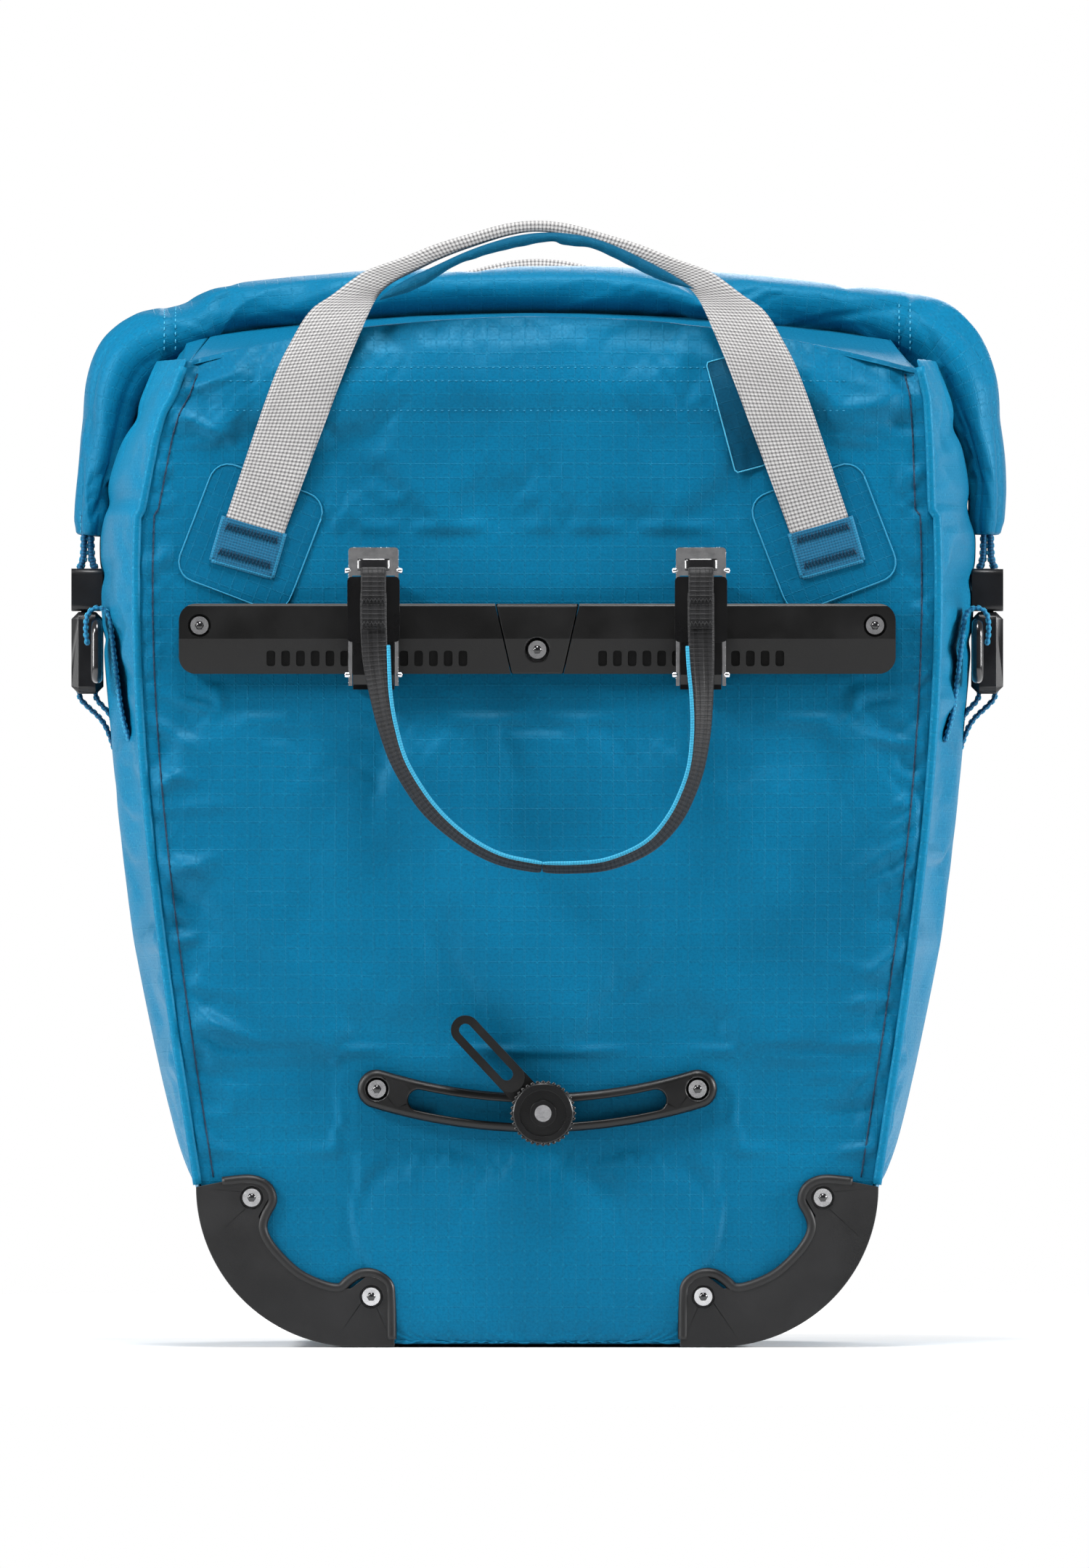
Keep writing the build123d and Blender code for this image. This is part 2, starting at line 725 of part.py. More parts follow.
with BuildPart() as foot_knob:
    with BuildSketch(facing(knob_y)):
        with Locations(foot_spot):
            Circle(knob_r)
    extrude(amount=knob_thick)
    chamfer(foot_knob.faces().sort_by(Axis.Y)[0].edges(), length=1)
    with BuildSketch(facing(knob_y)):
        with Locations(foot_spot):
            with PolarLocations(knob_r + 0.4, 24):
                Circle(0.8)
    extrude(amount=knob_thick, mode=Mode.SUBTRACT)
    with BuildSketch(facing(knob_y - knob_thick + 1.6)):
        with Locations(foot_spot):
            Circle(9.6)
            Circle(5.4, mode=Mode.SUBTRACT)
    extrude(amount=knob_thick, mode=Mode.SUBTRACT)
    with BuildSketch(facing(knob_y)):
        with Locations(foot_spot):
            Circle(bolt_r + bolt_gap)
    extrude(amount=knob_thick, mode=Mode.SUBTRACT)
finish(foot_knob, "foot_knob")

with BuildPart() as foot_bolt:
    with BuildSketch(facing(knob_y - knob_thick - 0.1)):
        with Locations(foot_spot):
            Circle(3.75)
    extrude(amount=1.8, taper=10)
    with BuildSketch(facing(back_y - 0.3)):
        with Locations(foot_spot):
            Circle(bolt_r)
    extrude(amount=back_y - 0.3 - knob_y + knob_thick + 0.1)
    with BuildSketch(facing(knob_y - knob_thick - 0.1 - 1.8)):
        with Locations(foot_spot):
            RegularPolygon(radius=1.7, side_count=6)
    extrude(amount=-1.2, mode=Mode.SUBTRACT)
finish(foot_bolt, "foot_bolt")


# Corner protectors ------------------------------------------------------

guard_r = corner_r + fabric
guard_inner = [(59, 0), (59, 19), (62, 27), (68, 31), (77, 24), (90, 24.5), (103, 32), (111, 43), (115, 54),
               (110, 63), (112, 69), (118.5, 70.5)]

for name, side in both_sides:
    with BuildPart() as protector:
        turn = guard_r * cos(radians(45))
        with BuildSketch(facing(back_y)):
            with BuildLine():
                inside = Polyline(*[(side * x, z) for x, z in guard_inner])
                top = Line(inside @ 1, (side * (corner_x + guard_r), corner_z))
                around = ThreePointArc(
                    top @ 1, (side * (corner_x + turn), corner_z - turn), (side * corner_x, corner_z - guard_r)
                )
                Line(around @ 1, inside @ 0)
            make_face()
            with Locations(*[(side * x, z) for x, z in guard_screws]):
                Circle(shank_hole_r, mode=Mode.SUBTRACT)
        extrude(amount=guard_thick)
        with BuildSketch(facing(back_y - guard_thick + 1)):
            with Locations(*[(side * x, z) for x, z in guard_screws]):
                Circle(head_r + 0.5)
        extrude(amount=guard_thick, mode=Mode.SUBTRACT)
        with BuildSketch(facing(back_y)):
            with BuildLine():
                out_arc = ThreePointArc(
                    (side * (corner_x + guard_r), corner_z),
                    (side * (corner_x + turn), corner_z - turn),
                    (side * corner_x, corner_z - guard_r),
                )
                low = Line(out_arc @ 1, (side * 59, 0))
                step = Line(low @ 1, (side * 59, fabric))
                flat = Line(step @ 1, (side * corner_x, fabric))
                in_turn = corner_r * cos(radians(45))
                in_arc = ThreePointArc(
                    flat @ 1, (side * (corner_x + in_turn), corner_z - in_turn),
                    (side * (corner_x + corner_r), corner_z),
                )
                Line(in_arc @ 1, out_arc @ 0)
            make_face()
        extrude(amount=-guard_wrap)
    finish(protector, f"{name}_corner_protector")


# Handles ----------------------------------------------------------------

arch_r = (grip_half**2 + (handle_top - grip_end_z) ** 2) / (2 * (handle_top - grip_end_z))
arch_z = handle_top - arch_r


def arch_strip(outer_r, high, half):
    """Part of the arch between two radii, trimmed to this half width."""
    with BuildSketch() as strip:
        with Locations((0, arch_z)):
            Circle(outer_r)
            Circle(outer_r - high, mode=Mode.SUBTRACT)
        with Locations((0, grip_end_z - 6)):
            Rectangle(2 * half, 2 * arch_r, align=(Align.CENTER, Align.MIN), mode=Mode.INTERSECT)
    return strip.sketch


def leg_face(side):
    """Flat webbing from the hinge line up to the folded grip."""
    with BuildSketch() as leg:
        with BuildLine():
            Polyline(
                (side * (pivot_x - webbing / 2), pivot_z + 1),
                (side * (pivot_x + webbing / 2), pivot_z + 1),
                (side * (grip_half + 10), grip_end_z - 8), (side * (grip_half - 4), grip_end_z + 3.6),
                (side * (grip_half - 12), grip_end_z - 3), (side * (grip_half - 9), grip_end_z - 12),
                close=True,
            )
        make_face()
    return leg.sketch


panel_gap = 0.2
patch_low = rail_high + 0.8
for place, outside, out in (("rear", back_y, 1), ("front", front_y, -1)):
    tilt = Axis((0, outside - out * 2, pivot_z), (1, 0, 0))
    with BuildPart() as patches:
        for side in (-1, 1):
            with BuildSketch(facing(outside)):
                with Locations(Location((side * patch_spot[0], patch_spot[1], 0), (0, 0, side * strap_tilt))):
                    RectangleRounded(patch_side, patch_side, 8)
                with Locations((side * patch_spot[0], patch_low)):
                    Rectangle(2 * patch_side, patch_side, align=(Align.CENTER, Align.MAX), mode=Mode.SUBTRACT)
            extrude(amount=out * 1)
    finish(patches, f"{place}_handle_patches")

    with BuildPart() as tabs:
        for side in (-1, 1):
            with BuildSketch(facing(outside - out * 1)):
                with Locations(Location((side * tab_spot[0], tab_spot[1], 0), (0, 0, side * strap_tilt))):
                    Rectangle(webbing, tab_high)
            extrude(amount=out * webbing_thick)
            with BuildSketch(facing(outside - out * 3)):
                with Locations(Location((side * tab_spot[0], tab_spot[1], 0), (0, 0, side * strap_tilt))):
                    Rectangle(webbing + 2, stitch_box)
            extrude(amount=out * 1.2)
    finish(tabs, f"{place}_handle_tabs")

    lean_back = 0 if place == "rear" else -front_tilt
    with BuildPart() as handle_webbing:
        for side in (-1, 1):
            with BuildSketch(facing(outside - out * 1)):
                add(leg_face(side))
            extrude(amount=out * webbing_thick)
        with BuildSketch(facing(outside - out * 0.4)):
            add(arch_strip(arch_r, band_high, grip_half))
        extrude(amount=out * band_deep)
        if lean_back:
            handle_webbing.part = handle_webbing.part.rotate(tilt, lean_back)
    finish(handle_webbing, f"{place}_handle_webbing")

    with BuildPart() as grip_sleeve:
        with BuildSketch(facing(outside - out * 0.4)):
            add(arch_strip(arch_r - band_high - panel_gap, sleeve_high, 62))
        extrude(amount=out * sleeve_deep)
        if lean_back:
            grip_sleeve.part = grip_sleeve.part.rotate(tilt, lean_back)
    finish(grip_sleeve, f"{place}_handle_grip")

with BuildPart() as label_tab:
    with BuildSketch(facing(back_y)):
        with Locations(Location((*label_spot, 0), (0, 0, label_tilt))):
            RectangleRounded(14, 46, 2)
    extrude(amount=0.8)
finish(label_tab, "label_tab")

print("strap length", round(FilletPolyline(*strap_route, radius=strap_radii).length, 1))
print("arc centre Z", round(arc_centre_z, 2), "foot Z", round(foot_z, 2))
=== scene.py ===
import json
import math
import random

import bmesh
import bpy
import numpy as np
from mathutils import Matrix, Vector
from mathutils.bvhtree import BVHTree


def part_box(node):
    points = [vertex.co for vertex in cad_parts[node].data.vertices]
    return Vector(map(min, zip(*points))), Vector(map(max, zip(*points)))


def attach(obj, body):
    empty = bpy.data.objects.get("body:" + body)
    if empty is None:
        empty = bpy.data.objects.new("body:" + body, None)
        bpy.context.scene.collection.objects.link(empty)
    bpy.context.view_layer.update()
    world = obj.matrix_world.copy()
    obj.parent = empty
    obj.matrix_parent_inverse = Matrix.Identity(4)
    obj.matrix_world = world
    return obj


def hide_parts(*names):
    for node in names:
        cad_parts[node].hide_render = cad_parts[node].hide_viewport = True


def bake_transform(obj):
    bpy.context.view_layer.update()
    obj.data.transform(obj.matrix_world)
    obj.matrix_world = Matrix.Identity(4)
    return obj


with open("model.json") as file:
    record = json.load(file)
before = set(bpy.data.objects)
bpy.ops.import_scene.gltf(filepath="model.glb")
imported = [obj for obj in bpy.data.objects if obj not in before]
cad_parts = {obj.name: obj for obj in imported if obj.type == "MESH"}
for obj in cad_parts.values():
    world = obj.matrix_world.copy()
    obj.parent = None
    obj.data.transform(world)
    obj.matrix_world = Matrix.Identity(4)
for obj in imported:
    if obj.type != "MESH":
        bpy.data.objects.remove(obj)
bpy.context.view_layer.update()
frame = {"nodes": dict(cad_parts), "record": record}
nodes = frame["nodes"]
print("frame loaded,", len(nodes), "CAD nodes")


# Shader helpers: a wire carries one socket, so that shader maths reads as plain sums

class Wire:
    def __init__(self, shader, socket):
        self.shader = shader
        self.socket = socket

    def __add__(self, other):
        return self.shader.maths("ADD", self, other)

    def __radd__(self, other):
        return self.shader.maths("ADD", other, self)

    def __sub__(self, other):
        return self.shader.maths("SUBTRACT", self, other)

    def __rsub__(self, other):
        return self.shader.maths("SUBTRACT", other, self)

    def __mul__(self, other):
        return self.shader.maths("MULTIPLY", self, other)

    def __rmul__(self, other):
        return self.shader.maths("MULTIPLY", other, self)


class Shader:
    def __init__(self, name, tree=None):
        if tree is None:
            self.material = bpy.data.materials.new(name)
            self.material.use_nodes = True
        self.tree = tree or self.material.node_tree
        self.tree.nodes.clear()

    def node(self, kind, settings=None, inputs=None, output=0):
        made = self.tree.nodes.new(kind)
        for key, value in (settings or {}).items():
            if key == "stops":
                ramp = made.color_ramp.elements
                while len(ramp) < len(value):
                    ramp.new(0.5)
                for element, (place, colour) in zip(ramp, value):
                    element.position = place
                    element.color = (*colour, 1)
            else:
                setattr(made, key, value)
        for key, value in (inputs or {}).items():
            if isinstance(value, Wire):
                self.tree.links.new(value.socket, made.inputs[key])
            else:
                made.inputs[key].default_value = value
        return Wire(self, made.outputs[output]) if len(made.outputs) else None

    def maths(self, operation, first, second=0.0):
        return self.node("ShaderNodeMath", {"operation": operation}, {0: first, 1: second})

    def mix(self, factor, first, second, blend="MIX"):
        settings = {"data_type": "RGBA", "blend_type": blend}
        first, second = [c if isinstance(c, Wire) else (*c, 1) for c in (first, second)]
        return self.node("ShaderNodeMix", settings, {0: factor, 6: first, 7: second}, 2)

    def weave(self):
        # the cloth's own coordinates, in millimetres
        place = self.node("ShaderNodeUVMap", {"uv_map": "weave"})
        big = self.node("ShaderNodeVectorMath", {"operation": "SCALE"}, {0: place, 3: 1000.0})
        return big, self.node("ShaderNodeSeparateXYZ", None, {0: big}, 0), \
            self.node("ShaderNodeSeparateXYZ", None, {0: big}, 1)

    def solidPlace(self):
        place = self.node("ShaderNodeTexCoord", None, None, "Object")
        return self.node("ShaderNodeVectorMath", {"operation": "SCALE"}, {0: place, 3: 1000.0})

    def line(self, coordinate, pitch, width):
        # 1 on a line of this width, every pitch, and 0 between the lines
        away = self.node("ShaderNodeMath", {"operation": "PINGPONG"}, {0: coordinate, 1: pitch / 2})
        limits = {"From Min": width * 0.35, "From Max": width * 0.75, "To Min": 1.0, "To Max": 0.0}
        values = {"Value": away, **limits}
        return self.node("ShaderNodeMapRange", {"interpolation_type": "SMOOTHSTEP"}, values)

    def noise(self, place, scale, detail=2.0, roughness=0.5):
        values = {"Vector": place, "Scale": scale, "Detail": detail, "Roughness": roughness}
        return self.node("ShaderNodeTexNoise", None, values)

    def spread(self, value, low, high, least=0.0, most=1.0):
        limits = {"From Min": low, "From Max": high, "To Min": least, "To Max": most}
        return self.node("ShaderNodeMapRange", None, {"Value": value, **limits})

    def bump(self, height, distance, strength=1.0, under=None):
        values = {"Height": height, "Distance": distance, "Strength": strength}
        if under:
            values["Normal"] = under
        return self.node("ShaderNodeBump", None, values)

    def surface(self, colour, roughness, normal=None, **fixed):
        values = {"Base Color": colour if isinstance(colour, Wire) else (*colour, 1),
                  "Roughness": roughness}
        if normal:
            values["Normal"] = normal
        values.update(fixed)
        skin = self.node("ShaderNodeBsdfPrincipled", None, values)
        self.node("ShaderNodeOutputMaterial", None, {0: skin})
        return self.material


def tint(red, green, blue):
    # display colour 0-255 to the linear colour that a shader takes
    shares = [c / 255 for c in (red, green, blue)]
    return tuple(c / 12.92 if c < 0.0405 else ((c + 0.055) / 1.055) ** 2.4 for c in shares)


# Finishes

ripstop = {
    "deep": tint(0, 66, 98),
    "bright": tint(0, 86, 122),
    "thread": tint(20, 124, 158),
    "acrossPitch": 5.2,
    "upPitch": 5.7,
    "twillPitch": 0.62,
}


def ripstopCloth(name, deep, bright, thread, gridShare=0.07, gloss=0.40):
    s = Shader(name)
    shade = tuple(c * 0.62 for c in deep)
    place, across, up = s.weave()
    cloudy = s.noise(place, 0.02, 3.0)
    slub = s.noise(place, 0.9, 2.0)
    lines = s.maths("MAXIMUM", s.line(across, ripstop["acrossPitch"], 0.5),
                    s.line(up, ripstop["upPitch"], 0.5))
    knots = s.line(across, ripstop["acrossPitch"], 0.9) * s.line(up, ripstop["upPitch"], 0.9)
    dots = s.line(across + up, 1.5, 0.8)
    warp = s.line(across, ripstop["twillPitch"], ripstop["twillPitch"])
    twill = s.maths("MAXIMUM", warp * 0.7, s.line(up, ripstop["twillPitch"] * 1.1, ripstop["twillPitch"]))
    grid = lines * (0.35 + 0.65 * dots)
    colour = s.mix(s.spread(cloudy, 0.3, 0.7, 0.2, 0.8), deep, bright)
    colour = s.mix(twill * 0.14, colour, thread)
    colour = s.mix(lines * 0.17, colour, shade)
    colour = s.mix(grid * gridShare, colour, thread)
    colour = s.mix(knots * gridShare * 2.2, colour, thread)
    colour = s.mix(s.spread(slub, 0.42, 0.72, 0.0, 0.34), colour, shade)
    fine = s.bump(twill, 0.00008, 0.7)
    raised = s.bump(grid, 0.00010, 0.8, fine)
    soft = s.bump(s.noise(place, 0.12, 3.0), 0.0006, 0.5, raised)
    roughness = s.spread(slub, 0.3, 0.7, gloss, gloss + 0.12)
    return s.surface(colour, roughness, soft, **{
        "Sheen Weight": 0.03, "Sheen Roughness": 0.4, "Specular IOR Level": 0.22,
        "Specular Tint": (0.25, 0.75, 1.0, 1.0), "Sheen Tint": (0.2, 0.7, 1.0, 1.0),
    })


def ribbedWebbing(name, light, dark, ribPitch=1.55, columnPitch=1.3, rib=0.8, gloss=0.62):
    s = Shader(name)
    place, across, along = s.weave()
    ribs = s.line(along, ribPitch, ribPitch * 0.42)
    columns = s.line(across, columnPitch, columnPitch * 0.4)
    fuzz = s.noise(place, 2.4, 3.0)
    gaps = s.maths("MAXIMUM", ribs * rib, columns * rib * 0.8) * 0.55 + ribs * columns * 0.45
    colour = s.mix(gaps, light, dark)
    colour = s.mix(s.spread(fuzz, 0.35, 0.75, 0.0, 0.35), colour, dark)
    worn = s.noise(place, 0.05, 2.0)
    colour = s.mix(s.spread(worn, 0.35, 0.65, 0.0, 0.12), colour, dark)
    raised = s.bump(1.0 - gaps, 0.00035, 0.8)
    fuzzy = s.bump(fuzz, 0.00012, 0.6, raised)
    return s.surface(colour, s.spread(fuzz, 0.3, 0.7, gloss, gloss + 0.14), fuzzy, **{
        "Sheen Weight": 0.06, "Sheen Roughness": 0.5, "Specular IOR Level": 0.22,
    })


def mouldedPlastic(name, colour, scuffed, gloss, grain=1.6, coat=0.0):
    s = Shader(name)
    place = s.solidPlace()
    speckle = s.noise(place, grain, 3.0, 0.6)
    patchy = s.noise(place, 0.05, 3.0)
    shade = s.mix(s.spread(patchy, 0.4, 0.7, 0.0, 0.5), colour, scuffed)
    shade = s.mix(s.spread(speckle, 0.6, 0.8, 0.0, 0.3), shade, scuffed)
    roughness = s.spread(patchy, 0.3, 0.7, gloss, gloss + 0.14)
    return s.surface(shade, roughness, s.bump(speckle, 0.00008, 0.5), **{
        "Specular IOR Level": 0.34, "Coat Weight": coat, "Coat Roughness": 0.2,
    })


def brushedMetal(name, colour, dull, gloss):
    s = Shader(name)
    place = s.solidPlace()
    stretch = s.node("ShaderNodeVectorMath", {"operation": "MULTIPLY"}, {0: place, 1: (0.6, 0.6, 7.0)})
    streak = s.noise(stretch, 1.0, 4.0)
    stain = s.noise(place, 0.25, 3.0)
    shade = s.mix(s.spread(stain, 0.4, 0.75, 0.0, 0.7), colour, dull)
    roughness = s.spread(streak, 0.3, 0.7, gloss, gloss + 0.10)
    return s.surface(shade, roughness, s.bump(streak, 0.00001, 0.25), Metallic=1.0)


def threadFinish(name, colour, dark):
    s = Shader(name)
    place = s.solidPlace()
    twist = s.noise(place, 3.0, 2.0)
    return s.surface(s.mix(s.spread(twist, 0.35, 0.7), colour, dark), 0.5, s.bump(twist, 0.0001, 0.5), **{
        "Sheen Weight": 0.05, "Specular IOR Level": 0.2,
    })


panelCloth = ripstopCloth("panel_cloth", ripstop["deep"], ripstop["bright"], ripstop["thread"])
gussetCloth = ripstopCloth("gusset_cloth", tint(0, 80, 114), tint(2, 98, 134), tint(34, 134, 168), 0.12)
rollCloth = ripstopCloth("roll_cloth", tint(0, 72, 104), tint(0, 90, 126), tint(22, 126, 160), 0.08)
patchCloth = ripstopCloth("patch_cloth", tint(0, 64, 95), tint(0, 80, 114), tint(16, 112, 146), 0.08, 0.42)
labelCloth = ripstopCloth("label_cloth", tint(0, 40, 62), tint(0, 52, 78), tint(8, 84, 114), 0.05, 0.5)
baseCloth = ripstopCloth("base_cloth", tint(0, 52, 80), tint(0, 66, 96), tint(12, 90, 122), 0.06, 0.55)
sleeveCloth = ripstopCloth("sleeve_cloth", tint(0, 52, 78), tint(0, 66, 94), tint(10, 90, 120), 0.12, 0.52)
greyWebbing = ribbedWebbing("grey_webbing", tint(180, 179, 178), tint(88, 87, 88), 1.6, 1.6, 1.0)
tabWebbing = ribbedWebbing("tab_webbing", tint(0, 86, 120), tint(0, 58, 84), 1.2, 1.2, 0.5)
blueWebbing = ribbedWebbing("blue_webbing", tint(4, 84, 122), tint(0, 38, 62), 1.3, 1.2, 0.6)
skyWebbing = ribbedWebbing("sky_webbing", tint(30, 126, 166), tint(0, 74, 110), 1.9, 1.6, 0.8)
blackWebbing = ribbedWebbing("black_webbing", tint(25, 25, 27), tint(1, 1, 2), 1.9, 4.0, 1.0, 0.45)
skyPiping = ribbedWebbing("sky_piping", tint(46, 148, 180), tint(10, 96, 130), 1.1, 1.0, 0.5)
edgePiping = ribbedWebbing("edge_piping", tint(14, 108, 142), tint(0, 74, 104), 1.1, 1.0, 0.5)
railPlastic = mouldedPlastic("rail_plastic", tint(3, 3, 3), tint(9, 9, 10), 0.34)
hookPlastic = mouldedPlastic("hook_plastic", tint(3, 3, 4), tint(10, 10, 11), 0.22)
guardPlastic = mouldedPlastic("guard_plastic", tint(12, 12, 13), tint(24, 24, 25), 0.40, 1.2)
bucklePlastic = mouldedPlastic("buckle_plastic", tint(8, 8, 10), tint(22, 22, 25), 0.30)
glossBlack = mouldedPlastic("gloss_black", tint(12, 12, 14), tint(24, 24, 27), 0.12, 0.6, 0.6)
insertPlastic = mouldedPlastic("insert_plastic", tint(30, 30, 32), tint(52, 52, 55), 0.5)
boardPlastic = mouldedPlastic("board_plastic", tint(58, 60, 62), tint(80, 82, 84), 0.55)
stirrupMetal = brushedMetal("stirrup_metal", tint(214, 214, 216), tint(176, 176, 180), 0.14)
screwSteel = brushedMetal("screw_steel", tint(226, 226, 228), tint(190, 190, 194), 0.16)
paleThread = threadFinish("pale_thread", tint(60, 152, 182), tint(20, 108, 142))
darkThread = threadFinish("dark_thread", tint(0, 44, 70), tint(0, 28, 48))
blueThread = threadFinish("blue_thread", tint(26, 124, 158), tint(4, 92, 124))
blackThread = threadFinish("black_thread", tint(30, 30, 32), tint(10, 10, 11))
print("finishes made")


# Mesh helpers

def smoothLine(points, count):
    # count points, evenly spaced by length, on a smooth line through these ones
    points = np.array(points, float)
    padded = np.vstack([2 * points[0] - points[1], points, 2 * points[-1] - points[-2]])
    steps = np.linspace(0, 1, 24, endpoint=False)[:, None]
    runs = []
    for a, b, c, d in zip(padded, padded[1:], padded[2:], padded[3:]):
        bend = (2 * b) + (c - a) * steps + (2 * a - 5 * b + 4 * c - d) * steps**2
        runs.append(0.5 * (bend + (3 * b - a - 3 * c + d) * steps**3))
    dense = np.vstack(runs + [points[-1:]])
    far = np.concatenate([[0], np.cumsum(np.linalg.norm(np.diff(dense, axis=0), axis=1))])
    even = np.linspace(0, far[-1], count)
    return np.stack([np.interp(even, far, dense[:, axis]) for axis in range(points.shape[1])], axis=1)


def lengths(points):
    return np.concatenate([[0], np.cumsum(np.linalg.norm(np.diff(points, axis=0), axis=1))])


def pieceFrom(name, points, faces, finish, uv=None, smooth=True):
    mesh = bpy.data.meshes.new(name)
    mesh.from_pydata([tuple(p) for p in points], [], faces)
    if uv is not None:
        layer = mesh.uv_layers.new(name="weave")
        layer.data.foreach_set("uv", np.array(uv, np.float32).ravel())
    mesh.materials.append(finish)
    mesh.polygons.foreach_set("use_smooth", [smooth] * len(mesh.polygons))
    piece = bpy.data.objects.new(name, mesh)
    bpy.context.scene.collection.objects.link(piece)
    return piece


def gridFaces(rows, cols, loop=False, flip=False):
    wide = cols if loop else cols - 1
    faces = []
    for r in range(rows - 1):
        for c in range(wide):
            d = (c + 1) % cols
            face = (r * cols + c, r * cols + d, (r + 1) * cols + d, (r + 1) * cols + c)
            faces.append(face[::-1] if flip else face)
    return faces


def gridPiece(name, grid, finish, uv, loop=False, flip=False, capped=False, smoothing=1, thick=0.0):
    # grid is rows x cols x 3; uv is rows x cols x 2, with one more column when the grid is a loop
    rows, cols = grid.shape[:2]
    faces = gridFaces(rows, cols, loop, flip)
    wide = cols if loop else cols - 1
    corners = []
    for r in range(rows - 1):
        for c in range(wide):
            four = [uv[r][c], uv[r][c + 1], uv[r + 1][c + 1], uv[r + 1][c]]
            corners.extend(four[::-1] if flip else four)
    points = grid.reshape(-1, 3)
    if capped:
        for ring, backwards in ((0, not flip), (rows - 1, flip)):
            centre = len(points)
            points = np.vstack([points, grid[ring].mean(0)])
            middle = np.mean(uv[ring], axis=0)
            for c in range(cols):
                d = (c + 1) % cols
                face = (ring * cols + c, ring * cols + d, centre)
                three = [uv[ring][c], uv[ring][c + 1], middle]
                faces.append(face[::-1] if backwards else face)
                corners.extend(three[::-1] if backwards else three)
    piece = pieceFrom(name, points, faces, finish, corners)
    if thick:
        wall = piece.modifiers.new("cloth thickness", "SOLIDIFY")
        wall.thickness = thick
        wall.offset = -1
        wall.use_even_offset = False
    if smoothing:
        rounder = piece.modifiers.new("smoothing", "SUBSURF")
        rounder.levels = smoothing
        rounder.render_levels = smoothing
    return piece


def ribbon(name, left, right, back, front, finish, sections=6, smoothing=1):
    # a flat strap between two edges; back and front move its faces off the edges' own surface
    left, right = np.array(left, float), np.array(right, float)
    ring = []
    spots = [(t, 0) for t in np.linspace(0, 1, sections)] + [(t, 1) for t in np.linspace(1, 0, sections)]
    middle = (left + right) / 2
    far = lengths(middle)
    wide = np.linalg.norm(right - left, axis=1)
    uv = []
    for t, side in spots:
        ring.append(left * (1 - t) + right * t + (front if side else back))
        uv.append(np.stack([wide * t, far], axis=1))
    uv.append(uv[0])
    grid = np.stack(ring, axis=1)
    return gridPiece(name, grid, finish, np.stack(uv, axis=1), loop=True, capped=True, smoothing=smoothing)


def tube(name, path, radius, finish, sides=8, smoothing=0, flat=1.0, squashAxis=None):
    path = np.array(path, float)
    ahead = np.gradient(path, axis=0)
    ahead /= np.linalg.norm(ahead, axis=1)[:, None]
    lead = np.array([0, 1.0, 0]) if squashAxis is None else np.array(squashAxis, float)
    across = np.cross(ahead, lead)
    across /= np.maximum(np.linalg.norm(across, axis=1), 1e-6)[:, None]
    up = np.cross(across, ahead)
    turn = np.linspace(0, 2 * math.pi, sides, endpoint=False)
    grid = np.stack([path + radius * (math.cos(a) * across + flat * math.sin(a) * up) for a in turn],
                    axis=1)
    far = lengths(path)
    round_ = np.linspace(0, 2 * math.pi * radius, sides + 1)
    uv = np.stack([np.tile(round_, (len(path), 1)), np.tile(far[:, None], (1, sides + 1))], axis=2)
    return gridPiece(name, grid, finish, uv, loop=True, capped=True, smoothing=smoothing)


def joined(name, pieces):
    bpy.context.view_layer.update()
    whole = bmesh.new()
    for piece in pieces:
        shape = piece.evaluated_get(bpy.context.evaluated_depsgraph_get())
        flat = bpy.data.meshes.new_from_object(shape)
        whole.from_mesh(flat)
    mesh = bpy.data.meshes.new(name)
    whole.to_mesh(mesh)
    mesh.materials.append(pieces[0].data.materials[0])
    mesh.polygons.foreach_set("use_smooth", [True] * len(mesh.polygons))
    for piece in pieces:
        bpy.data.objects.remove(piece)
    made = bpy.data.objects.new(name, mesh)
    bpy.context.scene.collection.objects.link(made)
    return made


def stitches(name, lines, finish, length=0.0026, gap=0.0016, radius=0.00042):
    # single threads lying along the lines, each a short tapered barrel
    points, faces = [], []
    rings = [(-0.5, 0.25), (-0.36, 0.85), (0.0, 1.0), (0.36, 0.85), (0.5, 0.25)]
    for line in lines:
        line = np.array(line, float)
        far = lengths(line)
        count = int(far[-1] / (length + gap))
        for i in range(count):
            middle = (i + 0.5) * far[-1] / count
            spot = np.array([np.interp(middle, far, line[:, k]) for k in range(3)])
            nearby = np.array([np.interp(middle + 0.001, far, line[:, k]) for k in range(3)])
            ahead = nearby - spot
            ahead /= max(np.linalg.norm(ahead), 1e-9)
            across = np.cross(ahead, [0.31, 0.87, 0.39])
            across /= np.linalg.norm(across)
            up = np.cross(across, ahead)
            first = len(points)
            for along, girth in rings:
                for k in range(6):
                    a = k * math.pi / 3
                    out = radius * girth * (math.cos(a) * across + math.sin(a) * up)
                    points.append(spot + ahead * along * length + out)
            for r in range(len(rings) - 1):
                for k in range(6):
                    m = (k + 1) % 6
                    faces.append((first + r * 6 + k, first + r * 6 + m, first + r * 6 + 6 + m,
                                  first + r * 6 + 6 + k))
            faces.append(tuple(first + k for k in range(5, -1, -1)))
            faces.append(tuple(first + (len(rings) - 1) * 6 + k for k in range(6)))
    return pieceFrom(name, points, faces, finish)


clothFeel = {
    "quality": 5,
    "mass": 0.12,
    "tension_stiffness": 18,
    "compression_stiffness": 18,
    "shear_stiffness": 6,
    "bending_stiffness": 0.25,
    "air_damping": 2,
    "use_pressure": True,
}


